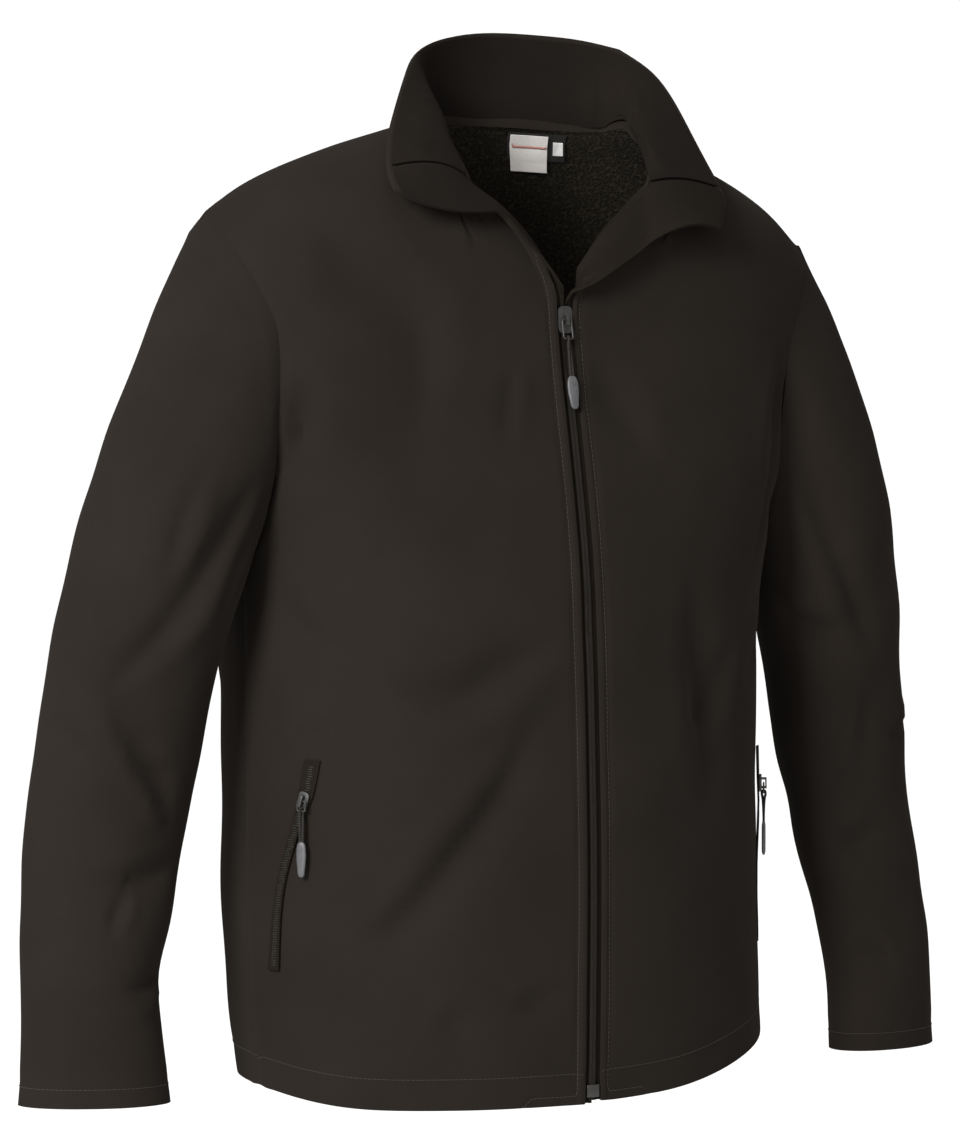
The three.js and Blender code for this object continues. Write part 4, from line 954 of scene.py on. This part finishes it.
MAIN_PULL = {"loop": (9, 15), "cord": 28, "grip": (9, 25), "wire": 0.65}
POCKET_PULL = {"loop": (7.6, 8), "cord": 22, "grip": (7.6, 26), "wire": 0.6}
CORD_RADIUS = 1.0
CORD_IN_GRIP = 3
LOOP_CORNER = 1.6
GRIP_HALF_THICK = 1.5
GRIP_SIDES = 28
GRIP_SHARES = (0.0, 0.012, 0.04, 0.1, 0.2, 0.35, 0.5, 0.65, 0.8, 0.9, 0.96, 0.985, 1.0)
GRIP_NECK = 0.74               # the tip's width at its top, to its full width
POCKET_ACROSS = {"right": (0.5712, -0.8208, 0), "left": (0.5709, 0.821, 0)}
UP = (0, 0, 1)


def make_pull(name, node, body, origin, x_axis, z_axis, sizes):
    """A wire loop on the slider's bar, a cord doubled through it and a moulded tip."""
    origin, x_axis, z_axis = (np.array(row, float) for row in (origin, x_axis, z_axis))
    y_axis = np.cross(z_axis, x_axis)

    def at(x, y, z):
        return origin + (x * x_axis + y * y_axis + z * z_axis) * MM

    builder = Builder()
    width, height = sizes["loop"]
    low = -height + sizes["wire"]
    right, bottom = width / 2 - sizes["wire"] - LOOP_CORNER, low + LOOP_CORNER
    loop = []
    for cx, cz, start in ((right, -LOOP_CORNER, 0), (-right, -LOOP_CORNER, 90),
                          (-right, bottom, 180), (right, bottom, 270)):
        for turn in np.radians(np.linspace(start, start + 90, 7)):
            loop.append(at(cx + LOOP_CORNER * math.cos(turn), 0, cz + LOOP_CORNER * math.sin(turn)))
    builder.tube(loop, sizes["wire"] * MM, 0, 10, closed=True)

    end = -height - sizes["cord"]
    bend = low + sizes["wire"] + CORD_RADIUS
    cord = [(-1.0, 0, end - CORD_IN_GRIP), (-1.05, -0.1, end + 6), (-1.0, -0.6, low - 6)]
    cord.append((-0.6, -1.4, low - 1.6))
    for k in range(5):
        turn = math.radians(45 * k)
        cord.append((-0.6 + 0.3 * k, -1.4 * math.cos(turn), bend - 1.6 + 1.6 * math.sin(turn)))
    cord += [(0.6, 1.3, low - 1.6), (1.0, 0.6, low - 6), (1.05, 0.1, end + 6), (1.0, 0, end - CORD_IN_GRIP)]
    builder.tube([at(*place) for place in smooth_line(cord, 60)], CORD_RADIUS * MM, 1, 10)

    grip_width, grip_length = sizes["grip"]
    rings = []
    for share in GRIP_SHARES:
        rounding = math.sqrt(max(1 - abs(2 * share - 1) ** 9, 0.02))
        swell = math.sin(math.pi * min(share * 1.25, 1.0) ** 0.9)
        across = grip_width / 2 * (GRIP_NECK + (1 - GRIP_NECK) * swell) * rounding
        thick = GRIP_HALF_THICK * rounding
        ring = []
        for turn in np.linspace(0, 2 * math.pi, GRIP_SIDES, endpoint=False):
            c, s = math.cos(turn), math.sin(turn)
            bulge = (abs(c) ** 3 + abs(s) ** 3) ** (-1 / 3)
            ring.append(at(across * c * bulge, thick * s * bulge, end + 1 - share * grip_length))
        rings.append(ring)
    builder.loft(rings[::-1], 2)
    pull = builder.piece(name, [ENAMEL, CORD, GRIP])
    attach(pull, body)
    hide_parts(node)


make_pull("zip_pull_fine", "zip_pull", "main_pull",
          (0, -0.089979, -0.149831), (1, 0, 0), (0, 0.182, 0.983), MAIN_PULL)
make_pull("pocket_pull_right_fine", "pocket_pull_right", "right_pocket_pull",
          (-0.199875, -0.054361, -0.498087), POCKET_ACROSS["right"], UP, POCKET_PULL)
make_pull("pocket_pull_left_fine", "pocket_pull_left", "left_pocket_pull",
          (0.193828, -0.054364, -0.498704), POCKET_ACROSS["left"], UP, POCKET_PULL)

METAL_EDGE = 0.00028


def make_metal(node):
    """A zip's metal part with its edges rounded."""
    piece = bpy.data.objects.new(node + "_metal", NODES[node].data.copy())
    bpy.context.scene.collection.objects.link(piece)
    bm = bmesh.new()
    bm.from_mesh(piece.data)
    bmesh.ops.remove_doubles(bm, verts=bm.verts, dist=WELD)
    edges = [edge for edge in bm.edges if is_sharp(edge)]
    bmesh.ops.bevel(
        bm, geom=edges, offset=METAL_EDGE, segments=2, profile=0.5, affect="EDGES", clamp_overlap=True)
    bm.to_mesh(piece.data)
    bm.free()
    piece.data.materials.clear()
    piece.data.materials.append(ENAMEL)
    piece.data.shade_smooth()
    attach(piece, JACKET)
    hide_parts(node)


for node in ("zip_slider", "zip_box", "pocket_slider_right", "pocket_slider_left"):
    make_metal(node)

# Zips: a moulded rib for each tooth of the closed chains

RIB_RADIUS = 0.00042
RIB_PITCH = 0.0017
RIB_SIDES = 6
RIB_SINK = 0.0001
CHAIN_BOTTOM, CHAIN_TOP = -0.7165, -0.168
MAIN_RIB = ((0.0004, 0.0004), (0.0013, 0.0001), (0.0022, -0.0003))
RIB_STAGGER = 0.0004
POCKET_RIB = (-0.0016, 0.0, 0.0016)
POCKET_END, POCKET_BAND = 0.004, 0.012
IN_FRONT, BESIDE = 0.3, 0.03   # where rays start


def add_rib(builder, surface, starts, inward):
    """A rib where rays from its places meet a surface, if all do."""
    path = []
    for start in starts:
        hit, _, _, _ = surface.ray_cast(Vector(start), Vector(inward))
        if hit is not None:
            path.append(np.array(hit) + np.array(inward) * RIB_SINK)
    if len(path) == len(starts):
        builder.tube(path, RIB_RADIUS, 0, RIB_SIDES)


def make_main_chain():
    surface = surface_of([NODES["zip_tape_right"].data, NODES["zip_tape_left"].data])
    builder = Builder()
    for z in np.arange(CHAIN_BOTTOM, CHAIN_TOP, RIB_PITCH):
        for side in (-1, 1):
            starts = [(side * x, -IN_FRONT, z + rise + side * RIB_STAGGER) for x, rise in MAIN_RIB]
            add_rib(builder, surface, starts, (0, 1, 0))
    chain = builder.piece("main_chain_ribs", [COIL])
    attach(chain, JACKET)


def make_pocket_chain(side):
    mesh = NODES["pocket_zip_" + side].data
    surface = surface_of([mesh])
    x_axis = np.array(POCKET_ACROSS[side], float)
    outward = np.cross(x_axis, UP)
    points = coordinates(mesh)
    low, high = points[:, 2].min() + POCKET_END, points[:, 2].max() - POCKET_END
    builder = Builder()
    for z in np.arange(low, high, RIB_PITCH):
        band = points[np.abs(points[:, 2] - z) < POCKET_BAND]
        if not len(band):
            continue
        middle = np.array((*band.mean(0)[:2], z))
        starts = [middle + outward * BESIDE + x_axis * across for across in POCKET_RIB]
        add_rib(builder, surface, starts, -outward)
    chain = builder.piece("pocket_chain_ribs_" + side, [COIL])
    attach(chain, JACKET)


make_main_chain()
make_pocket_chain("right")
make_pocket_chain("left")

# Label stripe

STRIPE_LOW, STRIPE_HIGH = 0.64, 0.71
STRIPE_PROUD = 0.0002
STRIPE_STEPS = 24
STRIPE_INSETS = (0.0025, 0.0015)
COLUMN_HALF = 0.006
NECK_INSIDE_Y = -0.05          # where rays onto the label start


def make_stripe():
    mesh = NODES["label_patch"].data
    points = coordinates(mesh)
    low, high = points.min(0)[0] + STRIPE_INSETS[0], points.max(0)[0] - STRIPE_INSETS[1]
    surface = surface_of([mesh])
    rings = []
    for x in np.linspace(low, high, STRIPE_STEPS):
        column = points[np.abs(points[:, 0] - x) < COLUMN_HALF]
        bottom, top = column[:, 2].min(), column[:, 2].max()
        ring = []
        for share, proud in ((STRIPE_LOW, 1), (STRIPE_HIGH, 1), (STRIPE_HIGH, -1), (STRIPE_LOW, -1)):
            start = Vector((x, NECK_INSIDE_Y, bottom + share * (top - bottom)))
            hit, _, _, _ = surface.ray_cast(start, Vector((0, 1, 0)))
            if hit is not None:
                ring.append(np.array(hit) - (0, STRIPE_PROUD * proud, 0))
        if len(ring) == 4:
            rings.append(ring)
    builder = Builder()
    builder.loft(rings)
    stripe = builder.piece("label_stripe", [label_material("label_stripe", STRIPE_COLOUR)])
    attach(stripe, JACKET)


make_stripe()

# The open tapes: the leaves' own cloth near the collar, and woven tape further down

LEAF_END = -0.098
LEAF_TOP = -0.08
TAPE_WRINKLES = [
    (2.4, 2.0, (-128, -73, -36), (-117, -75, -35), (-104, -76, -34)),
    (2.8, 2.2, (-128, -78, -43), (-118, -80, -42), (-104, -81, -41)),
    (2.4, 1.6, (-128, -83, -50), (-116, -85, -49), (-106, -86, -48)),
]


def make_tape(side):
    node = "zip_tape_" + side
    piece = fine_copy(node, LEVELS, node + "_cloth", [TAPE, PAINTED_SHADE_FACING, PAINTED_SHADE_FACING])
    walls = Walls(piece.data)
    leaf = walls.on[OUTER] & (walls.points[:, 2] > LEAF_TOP)
    faces_front = np.mean(walls.normals[OUTER][leaf], axis=0)[1] < 0
    move_walls(piece.data, walls, ridges(TAPE_WRINKLES, 1 if faces_front else -1), 0.0)
    for polygon in piece.data.polygons:
        polygon.material_index = int(side == "right" and polygon.center[2] > LEAF_END)
    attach(piece, JACKET)
    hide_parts(node)


make_tape("right")
make_tape("left")

for node, material in {
    "pocket_zip_right": TAPE, "pocket_zip_left": TAPE,
    "label_base": label_material("label_base", LABEL_BASE),
    "label_patch": label_material("label_patch", LABEL_PATCH),
    "label_tag": label_material("label_tag", LABEL_TAG),
}.items():
    NODES[node].data.materials.clear()
    NODES[node].data.materials.append(material)

# Floor and light

FLOOR_Z = -1.5
FLOOR_SIZE = 60.0
LIGHT_TARGET = (0, 0, -0.3)
WORLD_STRENGTH = 1.04
KEY_PLACE, KEY_SIZE, KEY_POWER = (-3.0, -1.7, 1.1), (1.1, 1.3), 360
TOP_PLACE, TOP_SIZE, TOP_POWER = (-0.5, -0.5, 2.4), (1.6, 1.6), 40


def make_floor():
    half = FLOOR_SIZE / 2
    nodes = Nodes("floor")
    nodes.link(nodes.ramp(nodes.noise(0.8), [(0.3, FLOOR_TONES[0]), (0.7, FLOOR_TONES[1])]), "Base Color")
    nodes.set(Roughness=0.9, Specular_IOR_Level=0.1)
    corners = [(x * half, y * half, FLOOR_Z) for x, y in ((-1, -1), (1, -1), (1, 1), (-1, 1))]
    floor = piece_from("floor", corners, [(0, 1, 2, 3)], [nodes.material], smooth=False)


def make_light(name, place, size, power):
    data = bpy.data.lights.new(name, "AREA")
    data.shape = "RECTANGLE"
    data.size, data.size_y = size
    data.energy = power
    light = bpy.data.objects.new(name, data)
    bpy.context.scene.collection.objects.link(light)
    light.location = place
    light.rotation_mode = "QUATERNION"
    light.rotation_quaternion = (Vector(LIGHT_TARGET) - Vector(place)).to_track_quat("-Z", "Y")


def make_world(strength):
    world = bpy.data.worlds.new("world")
    world.use_nodes = True
    background = world.node_tree.nodes["Background"]
    background.inputs["Color"].default_value = (1, 1, 1, 1)
    background.inputs["Strength"].default_value = strength
    bpy.context.scene.world = world


make_floor()
make_world(WORLD_STRENGTH)
make_light("key", KEY_PLACE, KEY_SIZE, KEY_POWER)
make_light("top", TOP_PLACE, TOP_SIZE, TOP_POWER)
bpy.context.scene.view_settings.view_transform = "Standard"
